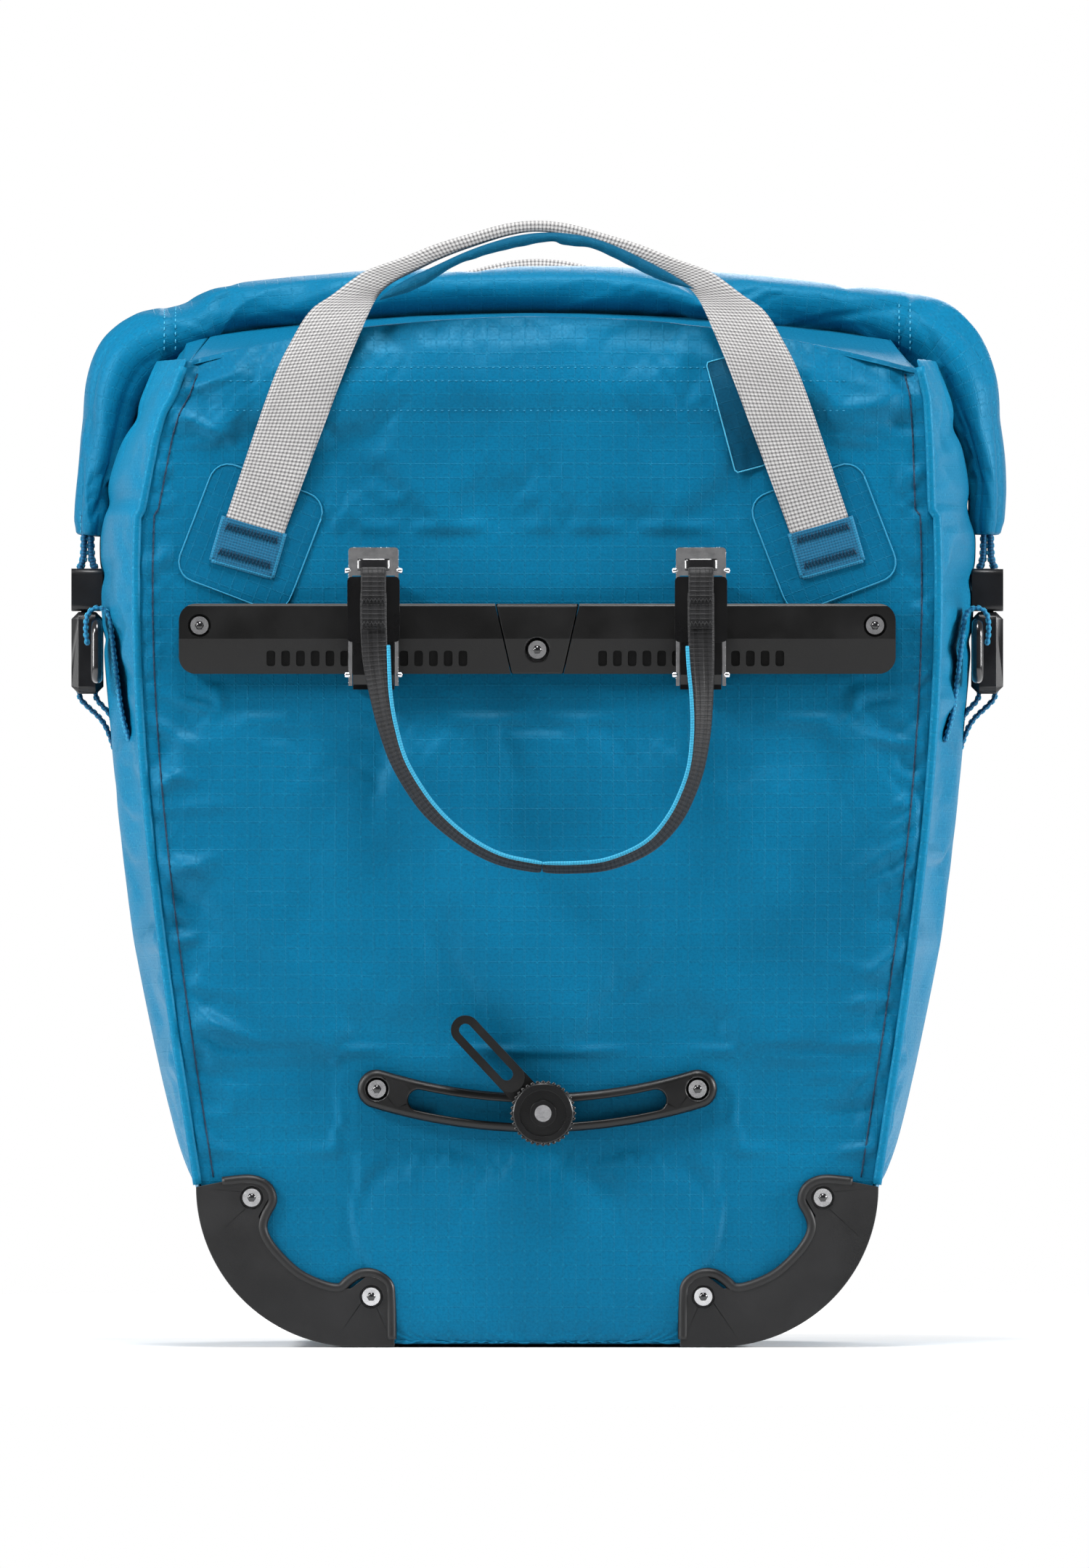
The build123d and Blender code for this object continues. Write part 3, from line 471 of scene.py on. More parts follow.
def settle(points, faces, held, slack, push, reach, frames=16):
    # cloth simulation of a sewn sheet; returns how far each point moved, held under reach
    points = np.array(points, float).reshape(-1, 3)
    scene = bpy.context.scene
    trial = pieceFrom("trial_cloth", points, faces, panelCloth)
    group = trial.vertex_groups.new(name="sewn")
    for level in np.unique(np.round(held, 1)):
        if level > 0:
            group.add([int(i) for i in np.nonzero(np.round(held, 1) == level)[0]], float(level), "REPLACE")
    cloth = trial.modifiers.new("cloth", "CLOTH")
    for key, value in clothFeel.items():
        setattr(cloth.settings, key, value)
    cloth.settings.vertex_group_mass = "sewn"
    cloth.settings.shrink_min = -slack
    cloth.settings.uniform_pressure_force = push
    cloth.settings.effector_weights.gravity = 0
    cloth.point_cache.frame_start = 1
    cloth.point_cache.frame_end = frames
    for number in range(1, frames + 1):
        scene.frame_set(number)
    shape = trial.evaluated_get(bpy.context.evaluated_depsgraph_get())
    ended = np.zeros(len(points) * 3)
    shape.data.vertices.foreach_get("co", ended)
    moved = ended.reshape(-1, 3) - points
    bpy.data.objects.remove(trial)
    scene.frame_set(1)
    size = np.linalg.norm(moved, axis=1)[:, None]
    return moved * np.tanh(size / reach) * reach / np.maximum(size, 1e-9)


def finer(grid):
    # twice as many rows and columns, on a smooth surface through the same points
    for axis in (0, 1):
        grid = np.swapaxes(grid, 0, axis)
        padded = np.concatenate([2 * grid[:1] - grid[1:2], grid, 2 * grid[-1:] - grid[-2:-1]])
        between = (9 * (padded[1:-2] + padded[2:-1]) - padded[:-3] - padded[3:]) / 16
        whole = np.empty((2 * len(grid) - 1, *grid.shape[1:]))
        whole[0::2] = grid
        whole[1::2] = between
        grid = np.swapaxes(whole, 0, axis)
    return grid


def ridges(x, z, folds):
    # height of long soft folds: each runs from one point to another and fades at its ends
    total = np.zeros_like(x)
    for ax, az, bx, bz, width, height in folds:
        runX, runZ = bx - ax, bz - az
        share = np.clip(((x - ax) * runX + (z - az) * runZ) / (runX**2 + runZ**2), 0, 1)
        away = np.hypot(x - ax - share * runX, z - az - share * runZ)
        total += height * np.exp(-((away / width) ** 2)) * (1 - 0.75 * (2 * share - 1) ** 2)
    return total


def smoothStep(value, low, high):
    t = np.clip((value - low) / (high - low), 0, 1)
    return t * t * (3 - 2 * t)


# The bag's outline, read from the frame

backLow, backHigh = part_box("back_panel")
backY = backLow.y
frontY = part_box("front_panel")[1].y
outline = np.array([v.co for v in nodes["front_panel"].data.vertices])
rightEdge = outline[outline[:, 0] > 0]
rightEdge = rightEdge[np.argsort(rightEdge[:, 2])]
shoulderZ = rightEdge[np.argmin(np.abs(rightEdge[:, 2] - 0.404)), 2]
flank = rightEdge[rightEdge[:, 2] <= shoulderZ + 0.0005]
crown = rightEdge[rightEdge[:, 2] >= shoulderZ - 0.0005]
crown = crown[np.argsort(crown[:, 0])]

bag = {
    "floorZ": backLow.z,
    "topZ": backHigh.z,
    "cornerX": 0.075,  # centre of the rounded lower corner
    "cornerZ": 0.066,
    "wall": 0.0009,
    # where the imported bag's seams draw in near the top, height and half width
    "leftTop": [(0.345, 0.1625), (0.376, 0.1565), (0.386, 0.1535), (0.394, 0.149), (0.407, 0.1445)],
    "rightTop": [(0.345, 0.1620), (0.376, 0.1610), (0.392, 0.1600), (0.407, 0.1565)],
    "seed": 7,
    "slack": 0.025,
    "puffZ": 0.397,  # soft swelling under the roll
    "puffHigh": 0.0034,
    "lipDeep": 0.0042,  # how far the top edge turns in towards the roll
    "frontFull": 0.0075,
    "columns": 93,
    "cornerRows": 12,
    "rows": 96,
}


def seamHalf(z, side, rear=True):
    half = np.interp(z, flank[:, 2], flank[:, 0])
    if not rear:
        return half
    table = np.array(bag["leftTop"] if side < 0 else bag["rightTop"])
    return np.where(z > table[0, 0], np.interp(z, table[:, 0], table[:, 1]), half)


def topEdge(x):
    return np.interp(np.abs(x), crown[:, 0], crown[:, 2])


def panelSheet(rear):
    u = np.linspace(-1, 1, bag["columns"])
    turns = np.linspace(0, math.pi / 2, bag["cornerRows"], endpoint=False)
    low = bag["floorZ"] + (bag["cornerZ"] - bag["floorZ"]) * (1 - np.cos(turns))
    levels = np.concatenate([low, np.linspace(bag["cornerZ"], bag["topZ"], bag["rows"])])
    grid = np.zeros((len(levels), len(u), 3))
    bend = 0.35
    for row, level in enumerate(levels):
        capped = level if level < bend else bend + (level - bend) / (bag["topZ"] - bend) * (shoulderZ - bend)
        half = np.where(u < 0, seamHalf(capped, -1, rear), seamHalf(capped, 1, rear))
        x = u * half
        rise = np.clip((level - bend) / (bag["topZ"] - bend), 0, 1)
        z = level if level < bend else bend + rise * (topEdge(x) - bend)
        grid[row] = np.stack([x, np.full_like(x, backY if rear else frontY), np.full_like(x, 1) * z],
                             axis=1)
    return grid


# Places where fittings press the cloth flat: half width, half height, centre
fittings = [
    (0.152, 0.019, 0, 0.2925), (0.078, 0.020, 0, 0.100), (0.030, 0.036, -0.118, 0.334),
    (0.030, 0.036, 0.118, 0.334), (0.034, 0.040, -0.112, 0.036), (0.034, 0.040, 0.112, 0.036),
    (0.128, 0.034, 0, 0.2995),
]


def pressed(x, z, spots, soft=0.010):
    # 1 where a fitting holds the cloth, fading to 0 beside it
    total = np.zeros_like(x)
    for wide, high, cx, cz in spots:
        away = np.hypot(np.maximum(np.abs(x - cx) - wide, 0), np.maximum(np.abs(z - cz) - high, 0))
        total = np.maximum(total, 1 - smoothStep(away, 0, soft))
    return total


def edgeHold(rows, cols):
    held = np.zeros((rows, cols))
    held[0], held[-1], held[:, 0], held[:, -1] = 1, 1, 1, 1
    return held


rng = random.Random(bag["seed"])


def seamPuckers(side, rear, low, high, step, deep):
    folds = []
    z = low
    while z < high:
        start = side * (seamHalf(z, side, rear) - 0.003)
        reach = rng.uniform(0.010, 0.034)
        folds.append((
            float(start), z, float(start - side * reach), z + rng.uniform(-0.016, 0.010),
            rng.uniform(0.0018, 0.0032), deep * rng.uniform(-0.6, 1.0),
        ))
        z += step * rng.uniform(0.7, 1.5)
    return folds


# Soft creases of the rear panel: from X, Z to X, Z, width, height
rearFolds = [
    (-0.030, 0.274, -0.085, 0.186, 0.012, 0.0014), (-0.060, 0.262, -0.120, 0.180, 0.007, -0.0006),
    (0.060, 0.250, 0.118, 0.150, 0.010, 0.0010), (-0.130, 0.205, -0.100, 0.150, 0.006, 0.0012),
    (0.140, 0.262, 0.112, 0.205, 0.005, 0.0011), (0.146, 0.225, 0.118, 0.190, 0.004, -0.0008),
    (-0.150, 0.330, -0.128, 0.286, 0.005, 0.0014), (-0.146, 0.372, -0.108, 0.392, 0.006, 0.0018),
    (-0.148, 0.360, -0.122, 0.366, 0.004, -0.0012), (0.150, 0.372, 0.112, 0.396, 0.006, 0.0016),
    (0.152, 0.392, 0.118, 0.408, 0.004, 0.0015), (0.154, 0.358, 0.128, 0.352, 0.004, 0.0013),
    (0.108, 0.412, 0.142, 0.398, 0.0035, -0.0013), (-0.138, 0.402, -0.112, 0.411, 0.004, 0.0012),
    (-0.066, 0.386, 0.062, 0.386, 0.006, -0.0006), (-0.120, 0.142, -0.070, 0.118, 0.006, 0.0010),
    (0.120, 0.136, 0.080, 0.112, 0.006, 0.0010), (-0.050, 0.070, 0.050, 0.062, 0.012, 0.0008),
]


def buildRearPanel():
    grid = panelSheet(True)
    x, z = grid[..., 0], grid[..., 2]
    uv = np.stack([x, z], axis=2)
    held = np.maximum(edgeHold(*x.shape), pressed(x, z, fittings, 0.006) > 0.6).astype(float)
    faces = gridFaces(*x.shape)
    moved = settle(grid.reshape(-1, 3), faces, held.ravel(), bag["slack"], 1.2, 0.0028).reshape(grid.shape)
    moved[..., 1] = np.where(moved[..., 1] > 0, moved[..., 1] * 0.3, moved[..., 1])
    grid = finer(grid + moved)
    uv = finer(uv)
    x, z = uv[..., 0], uv[..., 1]
    free = 1 - pressed(x, z, fittings)
    rim = topEdge(x) - z
    puff = bag["puffHigh"] * np.exp(-(((z - bag["puffZ"]) / 0.016) ** 2))
    puff *= smoothStep(0.152 - np.abs(x), 0, 0.03)
    lip = bag["lipDeep"] * (1 - smoothStep(rim, 0.0, 0.013))
    inset = np.where(x < 0, seamHalf(z, -1), seamHalf(z, 1)) - np.abs(x)
    corners = 0.0030 * smoothStep(np.abs(x), 0.112, 0.140) * smoothStep(z, 0.380, 0.41)
    corners *= smoothStep(inset, 0, 0.006)
    folds = rearFolds + seamPuckers(-1, True, 0.076, 0.400, 0.0065, 0.0030)
    folds += seamPuckers(1, True, 0.076, 0.400, 0.0065, 0.0030)
    grid[..., 1] += lip + corners - puff - ridges(x, z, folds) * free
    grid[..., 1] = np.maximum(grid[..., 1], backY - 0.0050 - 0.0035 * free)
    return gridPiece("back_panel_cloth", grid, panelCloth, uv, smoothing=1, thick=bag["wall"])


def buildFrontPanel():
    grid = panelSheet(False)
    x, z = grid[..., 0], grid[..., 2]
    uv = np.stack([x, z], axis=2)
    spots = fittings[2:4]
    held = np.maximum(edgeHold(*x.shape), pressed(x, z, spots, 0.006) > 0.6).astype(float)
    faces = gridFaces(*x.shape, flip=True)
    moved = settle(grid.reshape(-1, 3), faces, held.ravel(), 0.03, 1.6, 0.006).reshape(grid.shape)
    grid = finer(grid + moved)
    uv = finer(uv)
    x, z = uv[..., 0], uv[..., 1]
    free = 1 - pressed(x, z, spots, 0.03)
    edge = np.minimum(seamHalf(np.minimum(z, shoulderZ), 1, False) - np.abs(x), topEdge(x) - z)
    full = smoothStep(np.minimum(edge, z), 0, 0.07) * free
    folds = seamPuckers(-1, False, 0.03, 0.395, 0.008, 0.0022)
    folds += seamPuckers(1, False, 0.03, 0.395, 0.008, 0.0022)
    folds += [
        (-0.060, 0.350, -0.110, 0.220, 0.012, 0.0020), (0.050, 0.330, 0.112, 0.200, 0.010, 0.0018),
        (-0.020, 0.240, 0.060, 0.120, 0.014, 0.0016), (-0.120, 0.150, -0.060, 0.080, 0.010, 0.0016),
        (0.020, 0.395, 0.090, 0.404, 0.006, 0.0016), (-0.090, 0.400, -0.020, 0.392, 0.006, 0.0014),
    ]
    lip = 0.005 * (1 - smoothStep(topEdge(x) - z, 0.0, 0.016))
    grid[..., 1] += bag["frontFull"] * full + ridges(x, z, folds) * free - lip
    return gridPiece("front_panel_cloth", grid, panelCloth, uv, flip=True, smoothing=1, thick=bag["wall"])


# Side and base strip: one band of cloth that runs down one side, under the bag and up the other

strip = {
    "swell": [(0.030, 0.0), (0.066, 0.002), (0.168, 0.0085), (0.260, 0.0095), (0.345, 0.0130),
              (0.404, 0.0080)],
    "rise": 0.004,  # how far the sides stand above the panels' shoulders
    "across": 37,
    "sideRows": 76,
    "cornerRows": 22,
    "slack": 0.035,
    # cross creases of the sides: height, width, depth
    "pinches": [(0.346, 0.006, 0.0030), (0.318, 0.004, 0.0016), (0.382, 0.005, 0.0024),
                (0.292, 0.003, 0.0012)],
}


def stripRow(z, side, swell):
    t = np.linspace(0, 1, strip["across"])
    x = seamHalf(z, side, True) * (1 - t) + seamHalf(z, side, False) * t + swell * 4 * t * (1 - t)
    return np.stack([side * x, backY + (frontY - backY) * t, np.full_like(t, z)], axis=1)


def buildStrip():
    cornerX, cornerZ = bag["cornerX"], bag["cornerZ"]
    radius = float(seamHalf(cornerZ, 1)) - cornerX
    table = np.array(strip["swell"])
    levels = np.linspace(shoulderZ + strip["rise"], cornerZ, strip["sideRows"])
    swells = np.interp(levels, table[:, 0], table[:, 1])
    low = float(swells[-1])
    rows = [stripRow(z, -1, swell) for z, swell in zip(levels, swells)]
    t = np.linspace(0, 1, strip["across"])
    y = backY + (frontY - backY) * t
    for a in np.linspace(0, math.pi / 2, strip["cornerRows"])[1:]:
        grow = radius + low * 4 * t * (1 - t) * math.cos(a)
        rows.append(np.stack([-cornerX - grow * math.cos(a), y,
                              cornerZ - (radius - 0.0002) * math.sin(a) + 0 * t], axis=1))
    for x in np.linspace(-cornerX, cornerX, 30)[1:-1]:
        rows.append(np.stack([x + 0 * t, y, bag["floorZ"] + 0 * t], axis=1))
    for a in np.linspace(math.pi / 2, 0, strip["cornerRows"])[:-1]:
        grow = radius + low * 4 * t * (1 - t) * math.cos(a)
        rows.append(np.stack([cornerX + grow * math.cos(a), y,
                              cornerZ - (radius - 0.0002) * math.sin(a) + 0 * t], axis=1))
    rows += [stripRow(z, 1, swell) for z, swell in zip(levels[::-1], swells[::-1])]
    grid = np.array(rows)
    far = lengths(grid[:, 0])
    uv = np.stack([np.tile(y, (len(rows), 1)), np.tile(far[:, None], (1, len(y)))], axis=2)
    held = edgeHold(*grid.shape[:2])
    held = np.maximum(held, grid[..., 2] < cornerZ + 0.003)
    moved = settle(grid.reshape(-1, 3), gridFaces(*grid.shape[:2], flip=True), held.ravel(),
                   strip["slack"], 1.4, 0.0045)
    moved = moved.reshape(grid.shape)
    grid, uv = finer(grid + moved), finer(uv)
    t = (grid[..., 1] - backY) / (frontY - backY)
    inner = np.clip(4 * t * (1 - t), 0, 1)
    side = np.sign(grid[..., 0])
    for height, width, deep in strip["pinches"]:
        lean = height + 0.012 * (t - 0.5) * side
        grid[..., 0] -= side * deep * np.exp(-(((grid[..., 2] - lean) / width) ** 2)) * inner**0.5
    for _ in range(60):
        height, place = rng.uniform(0.08, 0.40), rng.choice([0.0, 1.0])
        reach, width = rng.uniform(0.12, 0.35), rng.uniform(0.0018, 0.0035)
        which, deep = rng.choice([-1, 1]), rng.uniform(-0.0010, 0.0016)
        away = np.abs(t - place)
        slope = height + rng.uniform(-0.05, 0.03) * away
        shape = np.exp(-(((grid[..., 2] - slope) / width) ** 2)) * smoothStep(reach - away, 0, reach * 0.7)
        grid[..., 0] += which * deep * shape * smoothStep(away, 0.0, 0.05) * (side == which)
    return grid, uv


def splitStrip(grid, uv):
    heights = grid[:, 0, 2]
    cut = bag["cornerZ"] - 0.0005
    ends = np.nonzero(heights < cut)[0]
    first, last = ends[0], ends[-1]
    made = []
    for name, low, high, finish in (
        ("left_gusset_cloth", 0, first + 1, gussetCloth),
        ("base_cloth_band", first, last + 1, baseCloth),
        ("right_gusset_cloth", last, len(grid), gussetCloth),
    ):
        made.append(gridPiece(name, grid[low:high], finish, uv[low:high], flip=True, smoothing=1,
                              thick=bag["wall"]))
    return made


rearPanel = buildRearPanel()
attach(rearPanel, "bag")
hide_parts("back_panel")
frontPanel = buildFrontPanel()
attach(frontPanel, "bag")
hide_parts("front_panel")
print("panels settled")

stripGrid, stripUv = buildStrip()
leftGusset, baseBand, rightGusset = splitStrip(stripGrid, stripUv)
for piece, replaced, slotName in (
    (leftGusset, ["left_gusset"], "gusset_fabric"),
    (rightGusset, ["right_gusset"], "gusset_fabric"),
    (baseBand, ["bottom_panel", "left_corner_panel", "right_corner_panel"], "base_fabric"),
):
    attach(piece, "bag")
    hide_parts(*replaced)
print("side strip settled")


def surfaceOf(piece):
    shape = piece.evaluated_get(bpy.context.evaluated_depsgraph_get())
    mesh = shape.to_mesh()
    tree = BVHTree.FromPolygons([v.co.copy() for v in mesh.vertices],
                                [tuple(p.vertices) for p in mesh.polygons])
    shape.to_mesh_clear()
    return tree


bpy.context.view_layer.update()
rearSkin = surfaceOf(rearPanel)
frontSkin = surfaceOf(frontPanel)


def layOn(x, z, rear=True, proud=0.0):
    # the point of the cloth at this place, moved out by proud
    skin, y, way = (rearSkin, -0.3, 1) if rear else (frontSkin, 0.3, -1)
    hit = skin.ray_cast(Vector((x, y, z)), Vector((0, way, 0)))[0]
    seat = hit.y if hit else (backY if rear else frontY)
    return np.array([x, seat - way * proud, z])


# Seams: a folded welt along each side seam, and a row of stitches beside it

seams = {"inset": 0.0058, "proud": 0.0001, "low": 0.070, "high": 0.402, "weltRadius": 0.0019,
         "grooveShadeRadius": 0.00034}


def seamLine(side, rear, count=120):
    points = []
    for z in np.linspace(seams["low"], seams["high"], count):
        x = side * (float(seamHalf(z, side, rear)) - seams["inset"])
        points.append(layOn(x, z, rear, seams["proud"]))
    return np.array(points)


for rear, label in ((True, "rear"), (False, "front")):
    rows = []
    for side, name in ((-1, "left"), (1, "right")):
        sign = -1 if rear else 1
        path = [(side * (float(seamHalf(z, side, rear)) + 0.0012),
                 (backY if rear else frontY) + sign * 0.0006, z)
                for z in np.linspace(0.067, 0.405, 110)]
        if not rear:
            # the front seam goes on round the lower corner
            centreX, centreZ = bag["cornerX"], bag["cornerZ"]
            wide, high = float(seamHalf(centreZ, 1)) + 0.0012 - centreX, centreZ - 0.0016
            path = [(side * (centreX + wide * math.sin(a)), frontY + 0.0006, centreZ - high * math.cos(a))
                    for a in np.linspace(0, math.pi / 2, 30, endpoint=False)] + path
        welt = tube(f"{name}_{label}_welt", path, seams["weltRadius"], gussetCloth, 10, 0, 0.8)
        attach(welt, "bag")
        rows.append(seamLine(side, rear))
    seam = stitches(f"{label}_seam_stitches", rows, darkThread, 0.0024, 0.0018, 0.00045)
    # a thin dark line along each row of stitches: painted shade standing in for the shadow in the seam's
    # groove
    grooveShades = [tube("fold", row, seams["grooveShadeRadius"], darkThread, 5) for row in rows]
    folds = joined(f"{label}_seam_groove_shade", grooveShades)
    for piece in (seam, folds):
        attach(piece, "bag")

# dotted rows across the top of the rear panel, ripstop lines drawn in lighter thread there as a painted
# highlight where the top band catches the light: X reach, Z
topRows = [(0.104, 0.4045), (0.128, 0.3990), (0.128, 0.3868)]
rows = []
for reach, z in topRows:
    rows.append([layOn(x, z, True, 0.0001) for x in np.linspace(-reach, reach, 90)])
bandHighlightRows = stitches("top_band_highlight_rows", rows, blueThread, 0.0010, 0.0018, 0.00024)
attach(bandHighlightRows, "bag")
print("seams sewn")


# Rolled closure with its ears, one long sleeve of cloth that hangs down at both ends

roll = {
    "leftEar": [(-0.1490, 0.4215), (-0.1625, 0.4165), (-0.1725, 0.4080), (-0.1780, 0.3960),
                (-0.1807, 0.3805), (-0.1832, 0.3585), (-0.1850, 0.3355)],
    "rightEar": [(0.1490, 0.4222), (0.1630, 0.4175), (0.1730, 0.4090), (0.1790, 0.3970), (0.1830, 0.3805),
                 (0.1862, 0.3585), (0.1858, 0.3360)],
    "stations": 260,
    "around": 56,
    "girth": 0.112,
    "sag": 1.007,  # radius of the long arc that the roll lies on
    "slack": 0.03,
    "seed": 23,
}
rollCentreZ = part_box("rolled_closure")[1].z - 0.010


def rollTopLine(x):
    return rollCentreZ - x * x / (2 * roll["sag"])


def rollPath():
    middle = [(x, float(rollTopLine(x))) for x in np.linspace(-0.125, 0.125, 17)]
    route = roll["leftEar"][::-1] + middle + roll["rightEar"]
    return smoothLine(route, roll["stations"])


def rollSection(path):
    # half depth and half thickness of the sleeve along the route, by distance from its ends
    far = lengths(path)
    fromEnd = np.minimum(far, far[-1] - far)
    table = np.array([(0.0, 0.0150, 0.0058), (0.005, 0.0165, 0.0068), (0.023, 0.0195, 0.0074),
                      (0.046, 0.0225, 0.0092), (0.061, 0.0238, 0.0122), (0.075, 0.0245, 0.0144),
                      (0.088, 0.0240, 0.0144), (0.102, 0.0230, 0.0126), (0.126, 0.0222, 0.0104),
                      (0.5, 0.0220, 0.0100)])
    deep, thick = [np.interp(fromEnd, table[:, 0], table[:, k]) for k in (1, 2)]
    return deep, thick, fromEnd


def buildRoll():
    path = rollPath()
    deep, thick, fromEnd = rollSection(path)
    ahead = np.gradient(path, axis=0)
    ahead /= np.linalg.norm(ahead, axis=1)[:, None]
    out = np.stack([-ahead[:, 1], ahead[:, 0]], axis=1)
    turn = np.linspace(0, 2 * math.pi, roll["around"], endpoint=False)
    cosine, sine = np.cos(turn), np.sin(turn)
    wide = np.sign(cosine) * np.abs(cosine) ** 0.86
    tall = np.sign(sine) * np.abs(sine) ** 0.90
    spare = random.Random(roll["seed"])
    x = path[:, 0:1]
    swell = np.zeros((len(path), roll["around"]))
    for _ in range(46):
        spot, facing = spare.uniform(-0.20, 0.20), spare.uniform(0, 2 * math.pi)
        width, spin = spare.uniform(0.003, 0.009), spare.uniform(-0.03, 0.03)
        away = (turn[None, :] - facing + math.pi) % (2 * math.pi) - math.pi
        near = np.exp(-((away / spare.uniform(0.35, 0.9)) ** 2))
        crowd = 1.7 if abs(spot) > 0.12 else 0.7
        ripple = np.exp(-(((x - spot - spin * away) / width) ** 2))
        swell += crowd * spare.uniform(-0.0011, 0.0009) * near * ripple
    # the loose edge of the last turn of cloth, seen low on the rack side
    lap = 0.0012 * smoothStep(turn, 3.62, 3.74) * (1 - smoothStep(turn, 4.6, 5.2))
    swell += lap[None, :] * smoothStep(fromEnd, 0.07, 0.1)[:, None]
    groove = -0.0007 * np.exp(-(((np.abs(x) - 0.1525) / 0.0012) ** 2)) * (path[:, 1:2] > 0.40)
    swell += groove
    # the ears hang in lengthwise folds
    crease = np.abs(np.sin(turn * 2.5 + 0.9)) ** 0.5 - 0.7
    swell += crease[None, :] * 0.0030 * (1 - smoothStep(fromEnd, 0.05, 0.11))[:, None]
    grid = np.zeros((len(path), roll["around"], 3))
    a = deep[:, None] + swell
    b = thick[:, None] + swell
    rise = b * tall[None, :]
    grid[..., 0] = path[:, 0:1] + out[:, 0:1] * rise
    grid[..., 2] = path[:, 1:2] + out[:, 1:2] * rise
    grid[..., 1] = -a * wide[None, :]
    rows, cols = grid.shape[:2]
    held = np.zeros((rows, cols))
    held[:3], held[-3:] = 1, 1
    underside = (np.abs(wide)[None, :] < 0.25) * (tall[None, :] < 0)
    held = np.maximum(held, underside * (np.abs(path[:, 0:1]) < 0.14))
    faces = gridFaces(rows, cols, loop=True)
    moved = settle(grid.reshape(-1, 3), faces, held.ravel(), roll["slack"], 1.5, 0.0032).reshape(grid.shape)
    grid = grid + moved
    around = np.linspace(0, roll["girth"], cols + 1)
    uv = np.stack([np.tile(lengths(path)[:, None], (1, cols + 1)), np.tile(around, (rows, 1))], axis=2)
    return gridPiece("roll_and_ears", grid, rollCloth, uv, loop=True, capped=True, smoothing=1)


rollPiece = buildRoll()
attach(rollPiece, "closure")
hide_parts("rolled_closure", "left_ear", "right_ear")
bpy.context.view_layer.update()
rollSkin = surfaceOf(rollPiece)


def rollSeam(x, low, high, rear=True):
    points = []
    for z in np.linspace(low, high, 14):
        y, way = (-0.3, 1) if rear else (0.3, -1)
        hit = rollSkin.ray_cast(Vector((x, y, z)), Vector((0, way, 0)))[0]
        if hit:
            points.append((x, hit.y - way * 0.0002, z))
    return points


seamRows = []
for x in (-0.1548, -0.1502, 0.1502, 0.1548):
    seamRows += [rollSeam(x, 0.412, 0.4325, rear) for rear in (True, False)]
rollStitches = stitches("roll_seam_stitches", [r for r in seamRows if len(r) > 3], paleThread, 0.0016,
                        0.0012, 0.0003)
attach(rollStitches, "closure")
print("closure rolled")


# Neck of the bag between the panels and the roll

neck = {"steps": 12, "depth": 0.0022, "seed": 5, "mouth": 0.013}


def buildNeck():
    outer, inner = [], []
    edge = np.linspace(-1, 1, 90)
    # around the mouth: rear edge left to right, right side, front edge, left side
    for u in edge:
        half = seamHalf(shoulderZ, -1 if u < 0 else 1, True)
        x = float(u * half)
        outer.append((x, rearRim, float(topEdge(x)) - 0.002))
        inner.append((x * 0.93, -neck["mouth"], float(rollTopLine(x * 0.93)) - 0.0065))
    ys = np.linspace(rearRim, frontRim, 46)[1:-1]
    for side, run in ((1, ys), (-1, ys[::-1])):
        if side < 0:
            for u in edge[::-1]:
                x = float(u * seamHalf(shoulderZ, 1, False))
                outer.append((x, frontRim, float(topEdge(x)) - 0.002))
                inner.append((x * 0.93, neck["mouth"], float(rollTopLine(x * 0.93)) - 0.0065))
        for y in run:
            t = (y - backY) / (frontY - backY)
            rearHalf, frontHalf = [float(seamHalf(shoulderZ, side, back)) for back in (True, False)]
            half = rearHalf * (1 - t) + frontHalf * t
            outer.append((side * (half + 0.006 * 4 * t * (1 - t)), y, shoulderZ - 0.002))
            inner.append((side * 0.1455, neck["mouth"] * (2 * t - 1), float(rollTopLine(0.1455)) - 0.0065))
    outer, inner = np.array(outer), np.array(inner)
    spare = random.Random(neck["seed"])
    place = np.linspace(0, 2 * math.pi, len(outer), endpoint=False)
    wave = sum(np.sin(place * k + spare.uniform(0, 6.3)) / k**0.5 for k in (5, 9, 14, 22, 34))
    calm = np.ones(len(outer))
    for corner in (0, 89, 134, 223):
        away = np.abs((np.arange(len(outer)) - corner + 134) % len(outer) - 134)
        calm *= np.clip(away / 10, 0, 1)
    rows = []
    for t in np.linspace(0, 1, neck["steps"]):
        line = outer * (1 - t) + inner * t
        line[:, 2] += 4 * t * (1 - t) * (neck["depth"] * wave - 0.0030) * calm
        rows.append(line)
    grid = np.array(rows)
    grid = np.concatenate([grid, grid[:, :1]], axis=1)
    around = lengths(np.vstack([outer, outer[:1]]))
    down = lengths(grid[:, 45])
    uv = np.stack([np.tile(around, (len(rows), 1)), np.tile(down[:, None], (1, len(around)))], axis=2)
    return grid, uv


rearRim, frontRim = backY + 0.0034, frontY - 0.0034
neckGrid, neckUv = buildNeck()
lowZ, highZ = shoulderZ - 0.002, float(rollTopLine(0.1455)) - 0.0065
# each side of the mouth is its own piece, from its rim to the roll
for name, low, high, start, end in (
    ("neck_cloth_rear", 0, 90, (0, rearRim, 0.42), (0, -neck["mouth"], 0.42)),
    ("neck_cloth_right", 89, 135, (0, 0, lowZ), (0, 0, highZ)),
    ("neck_cloth_front", 134, 224, (0, frontRim, 0.42), (0, neck["mouth"], 0.42)),
    ("neck_cloth_left", 223, 269, (0, 0, lowZ), (0, 0, highZ)),
):
    piece = gridPiece(name, neckGrid[:, low:high], rollCloth, neckUv[:, low:high], smoothing=1,
                      thick=0.0007)
    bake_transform(piece)
    if low == 0:
        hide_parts("collar")
print("neck joined")


# Carrying handles: webbing that is folded lengthwise over a padded sleeve at the top

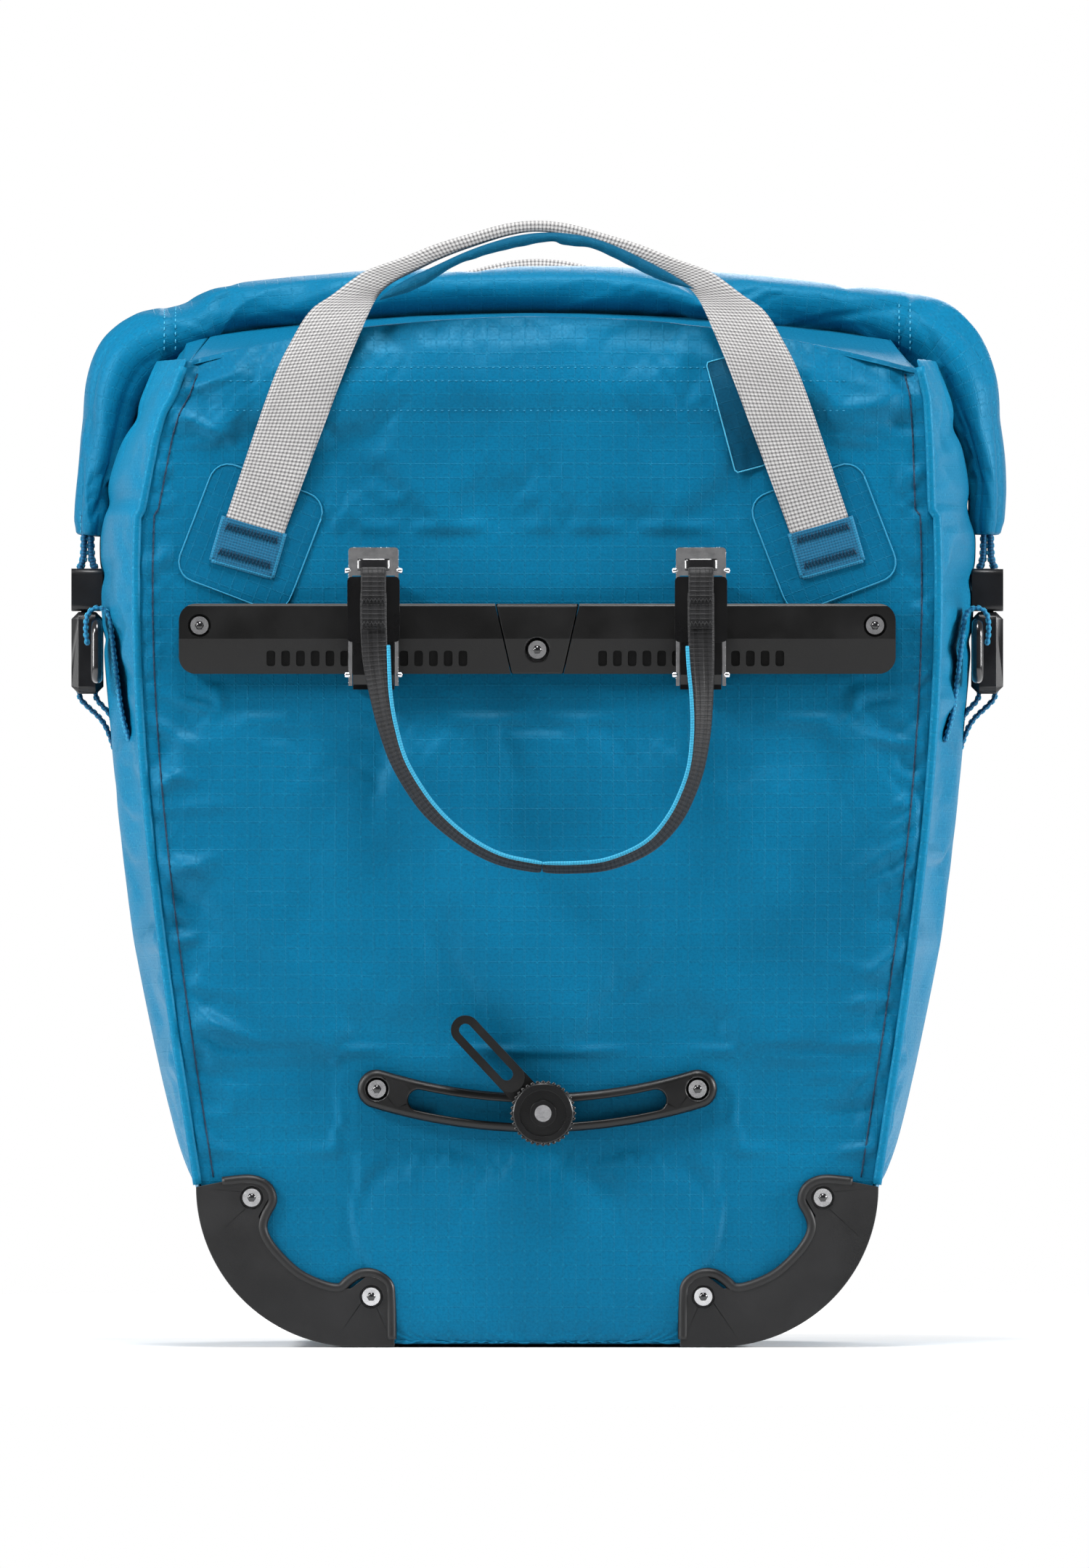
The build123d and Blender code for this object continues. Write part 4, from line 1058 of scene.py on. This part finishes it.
handle = {
    # edges of the webbing from the patch up to the folded part, X and Z for the left leg
    "outer": [(-0.1298, 0.3395), (-0.1284, 0.3438), (-0.1102, 0.3971), (-0.1010, 0.4169),
              (-0.0937, 0.4283), (-0.0850, 0.4345), (-0.0765, 0.4410), (-0.0700, 0.4450),
              (-0.0560, 0.4500), (-0.0423, 0.4555), (-0.0293, 0.4595), (-0.0130, 0.4640), (0.0, 0.4653)],
    "inner": [(-0.1054, 0.3325), (-0.1042, 0.3365), (-0.0808, 0.3994), (-0.0726, 0.4196),
              (-0.0685, 0.4290), (-0.0660, 0.4335), (-0.0630, 0.4370), (-0.0580, 0.4405),
              (-0.0480, 0.4455), (-0.0385, 0.4500), (-0.0270, 0.4543), (-0.0120, 0.4590), (0.0, 0.4607)],
    # how far the webbing's faces stand off the bag, back and front, at the same stations
    "near": [-0.0002, 0.0004, 0.0062, 0.0056, 0.0034, 0.0016, 0.0006, -0.0010, -0.0030, -0.0035, -0.0038,
             -0.0040, -0.0040],
    "deep": [0.0010, 0.0014, 0.0018, 0.0018, 0.0020, 0.0030, 0.0044, 0.0060, 0.0080, 0.0084, 0.0086,
             0.0086, 0.0086],
    "stations": 220,
}
sleeve = {
    "upper": [(-0.0640, 0.4345), (-0.0550, 0.4405), (-0.0397, 0.4478), (-0.0293, 0.4525),
              (-0.0190, 0.4562), (-0.0087, 0.4590), (0.0016, 0.4603), (0.0120, 0.4600), (0.0223, 0.4583),
              (0.0326, 0.4547), (0.0430, 0.4498), (0.0550, 0.4435), (0.0645, 0.4372)],
    "lower": [(-0.0655, 0.4322), (-0.0500, 0.4369), (-0.0345, 0.4462), (-0.0250, 0.4498),
              (-0.0190, 0.4516), (-0.0035, 0.4552), (0.0070, 0.4566), (0.0105, 0.4552), (0.0223, 0.4538),
              (0.0326, 0.4494), (0.0430, 0.4441), (0.0533, 0.4398), (0.0650, 0.4368)],
    "near": 0.0050,
    "far": 0.0105,
    "fill": 0.75,
}


def mirrored(points):
    return [(-x, z) for x, z in points[::-1]][1:]


def onHandle(points, rear):
    # the rear handle stands against the panel; the front one leans out about its hinge
    points = np.array(points, float)
    if rear:
        return points
    hinge = Vector((0, frontY + 0.002, 0.3595))
    lean = Matrix.Rotation(-math.radians(31), 3, "X")
    turned = []
    for p in points:
        flipped = Vector((p[0], -p[1] + frontY + backY, p[2]))
        turned.append(tuple(hinge + lean @ (flipped - hinge)) if p[2] > 0.352 else tuple(flipped))
    return np.array(turned)


def strapSurface(rear):
    outer = np.array(handle["outer"] + mirrored(handle["outer"]))
    inner = np.array(handle["inner"] + mirrored(handle["inner"]))
    near = np.array(handle["near"] + handle["near"][::-1][1:])
    deep = np.array(handle["deep"] + handle["deep"][::-1][1:])
    table = smoothLine(np.hstack([outer, inner, near[:, None], deep[:, None]]), handle["stations"])
    sections = 9
    ring = []
    shares = np.linspace(0, 1, sections)
    for t, face in [(t, 0) for t in shares] + [(t, 1) for t in shares[::-1]]:
        x = table[:, 0] * (1 - t) + table[:, 2] * t
        z = table[:, 1] * (1 - t) + table[:, 3] * t
        y = backY - table[:, 4] - table[:, 5] * face - 0.0004 * face * math.sin(math.pi * t)
        ring.append(np.stack([x, y, z], axis=1))
    grid = np.stack(ring, axis=1)
    middle = grid.mean(axis=1)
    far = lengths(middle)
    wide = np.maximum(np.linalg.norm(grid[:, sections - 1] - grid[:, 0], axis=1), 0.0001)
    spans = list(np.linspace(0, 1, sections)) + list(np.linspace(1, 0, sections)) + [0]
    uv = np.stack([np.stack([wide * t, far], axis=1) for t in spans], axis=1)
    shape = onHandle(grid.reshape(-1, 3), rear).reshape(grid.shape)
    return shape, uv


def buildHandle(rear):
    label = "rear" if rear else "front"
    grid, uv = strapSurface(rear)
    webbing = gridPiece(f"{label}_handle_strap", grid, greyWebbing, uv, loop=True, flip=not rear,
                        capped=True)
    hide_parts(f"{label}_handle_webbing")
    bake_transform(webbing)
    pad = buildSleeve(rear, label)
    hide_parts(f"{label}_handle_grip")
    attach(pad, f"{label}_handle")


def buildSleeve(rear, label):
    upper = smoothLine(sleeve["upper"], 90)
    lower = smoothLine(sleeve["lower"], 90)
    middle, half = (upper + lower) / 2, (upper - lower) / 2
    share = np.linspace(0, 1, 90)
    taper = np.clip(np.sin(math.pi * np.clip(share, 0.02, 0.98)) * 3.2, 0, 1) ** 0.6
    deep = (sleeve["near"] + sleeve["far"]) / 2 * (0.45 + 0.55 * taper)
    centreY = backY - 0.0008 - deep * 0.55
    turn = np.linspace(0, 2 * math.pi, 26, endpoint=False)
    spare = random.Random(31)
    wrinkle = sum(np.sin(share * k * 6.283 + spare.uniform(0, 6)) for k in (7, 13, 19)) * 0.00022
    ring = []
    for a in turn:
        lift = np.sign(math.sin(a)) * abs(math.sin(a)) ** 0.8
        side = np.sign(math.cos(a)) * abs(math.cos(a)) ** 0.8
        flat = middle + half * lift * (1 + (wrinkle * 120)[:, None] * (lift < 0))
        ring.append(np.stack([flat[:, 0], centreY - (deep * 0.55 + wrinkle) * side, flat[:, 1]], axis=1))
    grid = np.stack(ring, axis=1)
    far = lengths(middle)
    round_ = np.linspace(0, 0.030, len(turn) + 1)
    uv = np.stack([np.tile(far[:, None], (1, len(round_))), np.tile(round_, (90, 1))], axis=2)
    shape = onHandle(grid.reshape(-1, 3), rear).reshape(grid.shape)
    return gridPiece(f"{label}_grip_sleeve", shape, sleeveCloth, uv, loop=True, flip=rear, capped=True)


for rear in (True, False):
    buildHandle(rear)
print("handles folded")


# Patches, sewn tabs and the plain label tab: sizes, place and turn in degrees

patch = {"side": 0.050, "corner": 0.008, "tilt": 21.0, "x": 0.1185, "z": 0.3345, "proud": 0.0006}
tab = {"x": 0.1195, "z": 0.3305, "wide": 0.0262, "high": 0.0190, "tilt": 16.0, "proud": 0.0022}
label = {"x": 0.0822, "z": 0.3855, "wide": 0.0140, "high": 0.0480, "tilt": 15.0, "proud": 0.0009}


def roundedRing(wide, high, corner, count=72):
    # points of a rounded rectangle about its centre, evenly spaced by length
    corners = []
    for sx, sz, start in ((1, 1, 0), (-1, 1, 90), (-1, -1, 180), (1, -1, 270)):
        for a in np.radians(np.linspace(start, start + 90, 7)):
            corners.append((sx * (wide / 2 - corner) + corner * math.cos(a),
                            sz * (high / 2 - corner) + corner * math.sin(a)))
    corners = np.array(corners + corners[:1])
    far = lengths(corners)
    even = np.linspace(0, far[-1], count, endpoint=False)
    return np.stack([np.interp(even, far, corners[:, k]) for k in (0, 1)], axis=1)


def tilted(points, angle, x, z):
    a = math.radians(angle)
    points = np.array(points)
    return np.stack([x + points[:, 0] * math.cos(a) - points[:, 1] * math.sin(a),
                     z + points[:, 0] * math.sin(a) + points[:, 1] * math.cos(a)], axis=1)


def laidPatch(name, wide, high, corner, tilt, x, z, proud, finish, rear, rings=10):
    # a thin piece that follows the cloth under it, with its rim pressed down
    ring = roundedRing(wide, high, corner)
    rows, uv = [], []
    for share in [1.0, 0.995, 0.97] + list(np.linspace(0.9, 0.05, rings)):
        flat = tilted(ring * share, tilt, x, z)
        rise = proud * (-0.6 if share == 1.0 else (0.75 if share > 0.98 else 1.0))
        rows.append([layOn(px, pz, rear, rise) for px, pz in flat])
        local = ring * share
        uv.append(np.vstack([local, local[:1]]))
    return gridPiece(name, np.array(rows), finish, np.array(uv), loop=True, flip=not rear, capped=True)


def localLine(points, tilt, x, z, rear, proud):
    return np.array([layOn(px, pz, rear, proud) for px, pz in tilted(points, tilt, x, z)])


def threaded(name, paths, radius, finish, sides):
    return joined(name, [tube("thread", path, radius, finish, sides) for path in paths])


def buildSewnEnds(rear):
    place = "rear" if rear else "front"
    patches, tabs, outlines, zigzags, edges = [], [], [], [], []
    for side in (-1, 1):
        x = side * patch["x"]
        patches.append(laidPatch(f"{place}_patch_{side}", patch["side"], patch["side"] + 0.002,
                                 patch["corner"],
                                 side * patch["tilt"], x, patch["z"], patch["proud"], patchCloth, rear))
        rim = roundedRing(patch["side"] - 0.001, patch["side"] + 0.001, patch["corner"])
        outlines.append(localLine(np.vstack([rim, rim[:1]]), side * patch["tilt"], x, patch["z"], rear,
                                  patch["proud"] + 0.0001))
        tabX, tilt = side * tab["x"], side * tab["tilt"]
        tabs.append(laidPatch(f"{place}_tab_{side}", tab["wide"], tab["high"], 0.0012, tilt,
                              tabX, tab["z"], tab["proud"], tabWebbing, rear))
        for low in (-0.0050, 0.0058):
            sweep = [(-0.0110 + 0.0220 * k / 30, low + (0.0014 if k % 2 else -0.0014)) for k in range(31)]
            zigzags.append(localLine(sweep, tilt, tabX, tab["z"], rear, tab["proud"] + 0.0003))
        for end in (-1, 1):
            run = [(end * tab["wide"] / 2, z) for z in np.linspace(-tab["high"] / 2, tab["high"] / 2, 12)]
            edges.append(localLine(run, tilt, tabX, tab["z"], rear, tab["proud"] * 0.6))
        run = [(x, -tab["high"] / 2) for x in np.linspace(-tab["wide"] / 2, tab["wide"] / 2, 12)]
        edges.append(localLine(run, tilt, tabX, tab["z"], rear, tab["proud"] * 0.6))
    made = [
        (joined(f"{place}_handle_patch_cloth", patches), "patch_fabric", [f"{place}_handle_patches"]),
        (joined(f"{place}_handle_tab_webbing", tabs), "blue_webbing", [f"{place}_handle_tabs"]),
        (threaded(f"{place}_tab_bartacks", zigzags, 0.00042, darkThread, 5), "blue_webbing", []),
        (threaded(f"{place}_tab_rolled_edges", edges, 0.0009, edgePiping, 8), "blue_webbing", []),
        (threaded(f"{place}_patch_outline", outlines, 0.00032, blueThread, 6), "patch_fabric", []),
    ]
    for piece, slotName, replaced in made:
        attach(piece, "bag")
        if replaced:
            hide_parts(*replaced)


for rear in (True, False):
    buildSewnEnds(rear)

labelPiece = laidPatch("label_tab_cloth", label["wide"], label["high"], 0.0012, label["tilt"],
                       label["x"], label["z"], label["proud"], labelCloth, True)
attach(labelPiece, "bag")
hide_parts("label_tab")
labelRim = roundedRing(label["wide"] - 0.0008, label["high"] - 0.0008, 0.0012)
labelLine = localLine(np.vstack([labelRim, labelRim[:1]]), label["tilt"], label["x"], label["z"], True,
                      label["proud"] + 0.0001)
labelEdge = tube("label_tab_edge", labelLine, 0.00028, paleThread, 6)
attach(labelEdge, "bag")
print("patches sewn")


# Release strap: black webbing with a light edge, held by both hooks

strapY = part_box("release_strap")[0].y
release = {
    # X, Z, depth behind the strap's outer face, half width, turn out of the panel's plane in degrees
    "left": [(-0.0675, 0.3135, 0.0014, 0.0056, 0), (-0.0675, 0.300, 0.0012, 0.0056, 0),
             (-0.0668, 0.284, 0.0010, 0.0055, 14), (-0.0650, 0.270, 0.0014, 0.0052, 34),
             (-0.0620, 0.256, 0.0024, 0.0052, 46), (-0.0565, 0.240, 0.0032, 0.0052, 54),
             (-0.0460, 0.2235, 0.0042, 0.0052, 56), (-0.0320, 0.2105, 0.0048, 0.0052, 63),
             (-0.0160, 0.2015, 0.0050, 0.0052, 66), (0.0020, 0.1978, 0.0050, 0.0052, 68)],
    "right": [(0.0675, 0.3135, 0.0014, 0.0056, 0), (0.0675, 0.300, 0.0012, 0.0056, 0),
              (0.0678, 0.284, 0.0010, 0.0055, 14), (0.0682, 0.268, 0.0014, 0.0053, 34),
              (0.0676, 0.252, 0.0024, 0.0052, 46), (0.0648, 0.236, 0.0032, 0.0052, 54),
              (0.0580, 0.2200, 0.0042, 0.0052, 56), (0.0465, 0.2070, 0.0048, 0.0052, 63),
              (0.0300, 0.1995, 0.0050, 0.0052, 66), (0.0150, 0.1978, 0.0050, 0.0052, 68),
              (0.0020, 0.1978, 0.0050, 0.0052, 68)],
    "thick": 0.0008,
    "piping": 0.0009,
}


def strapHalf(name, table, side):
    table = smoothLine([(x, z, y, w, math.radians(t)) for x, z, y, w, t in table], 110)
    route = table[:, :2]
    ahead = np.gradient(route, axis=0)
    ahead /= np.linalg.norm(ahead, axis=1)[:, None]
    inward = np.stack([-ahead[:, 1], ahead[:, 0]], axis=1) * -side
    centre = np.stack([route[:, 0], strapY + 0.0004 + table[:, 2], route[:, 1]], axis=1)
    turn = table[:, 4][:, None]
    width = table[:, 3][:, None]
    across = np.stack([inward[:, 0], np.zeros(len(route)), inward[:, 1]], axis=1)
    deep = np.array([0, 1.0, 0])
    flat = (np.cos(turn) * across + np.sin(turn) * -deep)
    normal = (np.sin(turn) * across + np.cos(turn) * deep)
    left, right = centre - flat * width, centre + flat * width
    band = ribbon(name, left, right, -normal * release["thick"], normal * release["thick"], blackWebbing, 6)
    inner = centre + flat * (width + 0.0003)
    start = 16
    trim = tube(name + "_piping", inner[start:], release["piping"], skyPiping, 8, 1)
    return band, trim


for sideName, side in (("left", -1), ("right", 1)):
    band, trim = strapHalf(f"{sideName}_release_strap_half", release[sideName], side)
    for piece, slotName in ((band, "black_webbing"), (trim, "blue_webbing")):
        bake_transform(piece)
    if side < 0:
        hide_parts("release_strap")
    # the sewn end goes up over the strap and back through the stirrup's slot
    x = side * 0.0675
    curl = [(strapY - 0.0006, 0.2965), (strapY - 0.0008, 0.303), (strapY - 0.0008, 0.311),
            (strapY - 0.0004, 0.3170), (strapY + 0.0010, 0.3204), (strapY + 0.0034, 0.3214),
            (strapY + 0.0060, 0.3204)]
    line = smoothLine(curl, 40)
    middle = np.stack([np.full(40, x), line[:, 0], line[:, 1]], axis=1)
    ahead = np.gradient(middle, axis=0)
    ahead /= np.linalg.norm(ahead, axis=1)[:, None]
    normal = np.cross(ahead, [1.0, 0, 0])
    end = ribbon(f"{sideName}_strap_end", middle - [0.0053, 0, 0], middle + [0.0053, 0, 0],
                 normal * 0.0006, -normal * 0.0006, blackWebbing, 6)
    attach(end, f"{sideName}_release")
    # the dark plate over the stirrup's face, above the strap: painted shade standing in for the shadow in
    # the stirrup's slot
    stirrupSkin = surfaceOf(nodes[f"{sideName}_stirrup"])
    plate = stirrupSkin.ray_cast(Vector((x + 0.0082, -0.3, 0.3232)), Vector((0, 1, 0)))[0]
    plateY = plate.y if plate else strapY
    shadowPlateLine = np.array([(x, plateY - 0.0002, z) for z in np.linspace(0.3205, 0.3254, 6)])
    slotShadowPlate = ribbon(f"{sideName}_slot_shadow_plate", shadowPlateLine - [0.0066, 0, 0], shadowPlateLine + [0.0066, 0, 0],
                        np.array([0, 0.0010, 0]), np.array([0, 0, 0]), glossBlack, 6, 0)
    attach(slotShadowPlate, f"{sideName}_release")
    tacks = []
    for z in (0.2985, 0.3080):
        zig = [(x - 0.0046 + 0.0092 * k / 12, strapY - 0.0018,
                z + (0.0008 if k % 2 else -0.0008)) for k in range(13)]
        tacks.append(tube("tack", zig, 0.00035, blackThread, 5))
    tack = joined(f"{sideName}_strap_bartacks", tacks)
    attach(tack, f"{sideName}_release")
    # rivets that hold the stirrup's legs
    caps = []
    for z in (0.3205, 0.2775):
        for out in (-1, 1):
            spot = Vector((x + out * 0.0106, strapY + 0.0055, z))
            caps.append(tube("rivet", [spot - Vector((out * 0.0012, 0, 0)), spot,
                                       spot + Vector((out * 0.0009, 0, 0)),
                                       spot + Vector((out * 0.0013, 0, 0))],
                             0.0013, stirrupMetal, 10, 1, 1.0, (0, 0, 1)))
    rivets = joined(f"{sideName}_stirrup_rivets", caps)
    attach(rivets, f"{sideName}_release")
print("release strap threaded")


# Side webbing: loops that hold the buckles and the rings

def sideBand(name, side, route, middleY, wide, finish, body, replaced, thick=0.0008, count=60):
    line = smoothLine([(side * x, z) for x, z in route], count)
    ahead = np.gradient(line, axis=0)
    ahead /= np.linalg.norm(ahead, axis=1)[:, None]
    out = np.stack([-ahead[:, 1], np.zeros(count), ahead[:, 0]], axis=1) * thick
    centre = np.stack([line[:, 0], np.full(count, middleY), line[:, 1]], axis=1)
    half = np.array([0, wide / 2, 0])
    band = ribbon(name, centre - half, centre + half, out, -out, finish, 8)
    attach(band, body)
    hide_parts(*replaced)
    rows = [centre + half * k * 0.86 + out * 1.05 * way for k in (-1, 1) for way in (-1, 1)]
    edge = stitches(name + "_stitches", rows, paleThread, 0.0018, 0.0010, 0.0003)
    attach(edge, body)


# X and Z along each loop, on the right side
sideRoutes = {
    "ear": [(0.1856, 0.3445), (0.1857, 0.336), (0.1853, 0.3265), (0.1838, 0.3215), (0.1842, 0.3170),
            (0.1870, 0.3160), (0.1898, 0.3170), (0.1902, 0.3215), (0.1887, 0.3265), (0.1883, 0.336),
            (0.1884, 0.3445)],
    "socket": [(0.1660, 0.222), (0.1700, 0.236), (0.1762, 0.2585), (0.1832, 0.2680), (0.1838, 0.2745),
               (0.1870, 0.2768), (0.1900, 0.2745), (0.1902, 0.2685), (0.1872, 0.2650), (0.1792, 0.2560),
               (0.1722, 0.2350), (0.1682, 0.222)],
    "ring": [(0.1690, 0.250), (0.1725, 0.264), (0.1758, 0.290), (0.1776, 0.3025), (0.1822, 0.3055),
             (0.1862, 0.3030), (0.1871, 0.2965), (0.1864, 0.2900)],
    "webbing": 0.025,
    "ringWebbing": 0.014,
}

for sideName, side in (("left", -1), ("right", 1)):
    sideBand(f"{sideName}_ear_webbing", side, sideRoutes["ear"], 0, sideRoutes["webbing"],
             blueWebbing, "closure", [f"{sideName}_ear_loop"], 0.0012)
    sideBand(f"{sideName}_socket_webbing", side, sideRoutes["socket"], 0, sideRoutes["webbing"],
             blueWebbing, "bag", [f"{sideName}_side_strap"])
    ringLow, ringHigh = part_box(f"{sideName}_ring_loop")
    sideBand(f"{sideName}_ring_webbing", side, sideRoutes["ring"], (ringLow.y + ringHigh.y) / 2,
             sideRoutes["ringWebbing"], skyWebbing, "bag", [f"{sideName}_ring_loop"])
print("side webbing sewn")


# CAD pieces that stay: their own detailed finishes and softened edges

cadFinishes = [
    (boardPlastic, ["back_board", "roll_stiffener"]),
    (screwSteel, ["rail_screws", "arc_rail_screws", "protector_screws", "inner_nuts", "foot_bolt"]),
    (railPlastic, ["rail_left", "rail_right", "rail_centre", "arc_rail", "foot_lever"]),
    (hookPlastic, ["foot_carriage", "foot_knob"]),
]
for sideName in ("left", "right"):
    cadFinishes += [
        (hookPlastic, [f"{sideName}_hook", f"{sideName}_catch"]),
        (insertPlastic, [f"{sideName}_tube_insert"]),
        (screwSteel, [f"{sideName}_catch_pin"]),
        (stirrupMetal, [f"{sideName}_stirrup"]),
        (guardPlastic, [f"{sideName}_corner_protector"]),
        (bucklePlastic, [f"{sideName}_buckle_tongue", f"{sideName}_buckle_socket"]),
        (glossBlack, [f"{sideName}_strap_ring"]),
    ]
softEdges = {"rail": 0.0009, "corner_protector": 0.0012, "hook": 0.0007, "stirrup": 0.0005,
             "buckle": 0.0016, "arc_rail": 0.0007, "foot_lever": 0.0007, "foot_knob": 0.0004}

for nodeName, finish in [(name, finish) for finish, names in cadFinishes for name in names]:
    part = nodes[nodeName]
    part.data.materials.clear()
    part.data.materials.append(finish)
    width = next((w for key, w in softEdges.items() if key in nodeName and "screw" not in nodeName), 0)
    if width:
        weld = part.modifiers.new("joined corners", "WELD")
        weld.merge_threshold = 0.00001
        bevel = part.modifiers.new("soft edges", "BEVEL")
        bevel.width = width
        bevel.segments = 3
        bevel.limit_method = "ANGLE"
        bevel.angle_limit = math.radians(35)
        bevel.harden_normals = True

# dark hexagons laid on the screw heads: painted shade standing in for the shadow inside their hexagonal
# sockets
recess = {"reach": 0.0019, "proud": 0.00010, "sink": 0.0006}
socketShades = []
for nodeName in ("rail_screws", "arc_rail_screws", "protector_screws"):
    corners = np.array([v.co for v in nodes[nodeName].data.vertices])
    while len(corners):
        near = np.hypot(corners[:, 0] - corners[0, 0], corners[:, 2] - corners[0, 2]) < 0.012
        head, corners = corners[near], corners[~near]
        x, z = (head[:, 0].min() + head[:, 0].max()) / 2, (head[:, 2].min() + head[:, 2].max()) / 2
        y = head[:, 1].min()
        path = [(x, y + recess["sink"], z), (x, y, z), (x, y - recess["proud"], z)]
        socketShades.append(tube("socket", path, recess["reach"], glossBlack, 6, 0, 1.0, (0, 0, 1)))
hexSocketShades = joined("screw_socket_shades", socketShades)

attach(hexSocketShades, "bag")

# raised grips round the rim of the knob
knob = {"grips": 36, "radius": 0.0008}
bodyOf = {node: body for body, names in frame["record"]["behaviour"]["bodies"].items() for node in names}
knobLow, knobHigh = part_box("foot_knob")
knobX, knobZ = (knobLow.x + knobHigh.x) / 2, (knobLow.z + knobHigh.z) / 2
knobReach = (knobHigh.x - knobLow.x) / 2 - 0.0002
grips = []
for turn in np.linspace(0, 2 * math.pi, knob["grips"], endpoint=False):
    x, z = knobX + knobReach * math.cos(turn), knobZ + knobReach * math.sin(turn)
    path = [(x, y, z) for y in np.linspace(knobLow.y + 0.0004, knobLow.y + 0.0052, 4)]
    grips.append(tube("grip", path, knob["radius"], hookPlastic, 8, 0, 1.0, (0, 0, 1)))
knobGrips = joined("knob_grips", grips)
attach(knobGrips, bodyOf["foot_knob"])

# the rolled inner edge of each corner protector, X and Z for the left one
guardEdge = [(-0.1302, 0.0681), (-0.1184, 0.0690), (-0.1117, 0.0662), (-0.1095, 0.0604), (-0.1121, 0.0550),
             (-0.1136, 0.0496), (-0.1117, 0.0439), (-0.1063, 0.0369), (-0.0984, 0.0299), (-0.0888, 0.0254),
             (-0.0818, 0.0242), (-0.0780, 0.0273), (-0.0729, 0.0302), (-0.0666, 0.0299), (-0.0615, 0.0261),
             (-0.0605, 0.0200), (-0.0602, 0.0030)]
for sideName, side in (("left", -1), ("right", 1)):
    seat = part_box(f"{sideName}_corner_protector")[0].y
    line = smoothLine([(-side * x, z) for x, z in guardEdge], 90)
    path = np.stack([line[:, 0], np.full(90, seat + 0.0014), line[:, 1]], axis=1)
    lip = tube(f"{sideName}_protector_lip", path, 0.0021, guardPlastic, 12)
    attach(lip, "bag")
print("fittings finished")


# Studio: pale floor that fades out, bright even surroundings and soft lights

floorPlan = {"half": 1.8, "z": -0.0004, "fadeFrom": 0.7, "fadeTo": 1.5}


def buildFloor():
    s = Shader("floor_paint")
    place = s.node("ShaderNodeTexCoord", None, None, "Object")
    far = s.node("ShaderNodeVectorMath", {"operation": "LENGTH"}, {0: place}, 1)
    fade = s.spread(far, floorPlan["fadeFrom"], floorPlan["fadeTo"])
    speck = s.noise(place, 60.0, 2.0)
    paint = s.node("ShaderNodeBsdfPrincipled", None, {
        "Base Color": s.mix(s.spread(speck, 0.3, 0.7), (0.86, 0.86, 0.86), (0.89, 0.89, 0.89)),
        "Roughness": 0.8})
    clear = s.node("ShaderNodeBsdfTransparent")
    both = s.node("ShaderNodeMixShader", None, {0: fade, 1: paint, 2: clear})
    s.node("ShaderNodeOutputMaterial", None, {0: both})
    line = np.linspace(-floorPlan["half"], floorPlan["half"], 24)
    grid = np.array([[(x, y, floorPlan["z"]) for x in line] for y in line])
    floor = gridPiece("studio_floor", grid, s.material, grid[..., :2], smoothing=0)


def buildWorld():
    # white to look at, but a dimmer glow lights the bag, so that the cloth keeps its shading
    world = bpy.data.worlds.new("studio")
    bpy.context.scene.world = world
    world.use_nodes = True
    s = Shader("studio", world.node_tree)
    place = s.node("ShaderNodeTexCoord")
    ahead = s.node("ShaderNodeSeparateXYZ", None, {0: place}, 1)
    height = s.node("ShaderNodeSeparateXYZ", None, {0: place}, 2)
    beside = s.maths("ABSOLUTE", s.node("ShaderNodeSeparateXYZ", None, {0: place}, 0))
    horizon = s.spread(s.maths("ABSOLUTE", height), 0.05, 0.16, 1.0, 0.0)
    strength = 0.07 + horizon * (0.22 + 0.60 * s.spread(ahead, 0.3, 0.9))
    strength = strength + 0.26 * s.spread(beside, 0.45, 0.9) + 0.24 * s.spread(height, 0.3, 0.9)
    glow = s.node("ShaderNodeBackground", None, {0: (1, 1, 1, 1), 1: strength})
    plain = s.node("ShaderNodeBackground", None, {0: (1, 1, 1, 1), 1: 1.0})
    seen = s.node("ShaderNodeLightPath")
    both = s.node("ShaderNodeMixShader", None, {0: seen, 1: glow, 2: plain})
    s.node("ShaderNodeOutputWorld", None, {0: both})


studioLights = {
    # place, aim, size, power
    "key_light": ((-1.3, -0.85, 1.05), (0, 0, 0.24), 0.35, 27),
    "right_light": ((1.4, -0.35, 0.5), (0, 0, 0.22), 0.35, 26),
    "left_light": ((-1.4, -0.30, 0.4), (0, 0, 0.22), 0.35, 11),
    "top_light": ((0.0, -0.50, 1.35), (0, 0, 0.38), 0.4, 19),
    "rear_light": ((0.3, 1.6, 1.1), (0, 0, 0.25), 0.9, 16),
}


def buildLights():
    for name, (place, aim, size, power) in studioLights.items():
        lamp = bpy.data.lights.new(name, "AREA")
        lamp.size = size
        lamp.energy = power
        lamp.shape = "SQUARE"
        lightObject = bpy.data.objects.new(name, lamp)
        lightObject.location = place
        lightObject.rotation_euler = (Vector(aim) - Vector(place)).to_track_quat("-Z", "Y").to_euler()
        bpy.context.scene.collection.objects.link(lightObject)


view = {"lens": 800, "sensor": 36, "distance": 14.4, "x": 0.003, "z": 0.2325}


def buildCamera():
    lens = bpy.data.cameras.new("studio_camera")
    lens.lens = view["lens"]
    lens.sensor_width = view["sensor"]
    lens.clip_end = 60
    camera = bpy.data.objects.new("studio_camera", lens)
    camera.location = (view["x"], backY - view["distance"], view["z"])
    camera.rotation_euler = (math.radians(90), 0, 0)
    bpy.context.scene.collection.objects.link(camera)
    bpy.context.scene.camera = camera


buildFloor()
buildWorld()
buildLights()
buildCamera()
bpy.context.scene.view_settings.view_transform = "Standard"
print("studio lit")
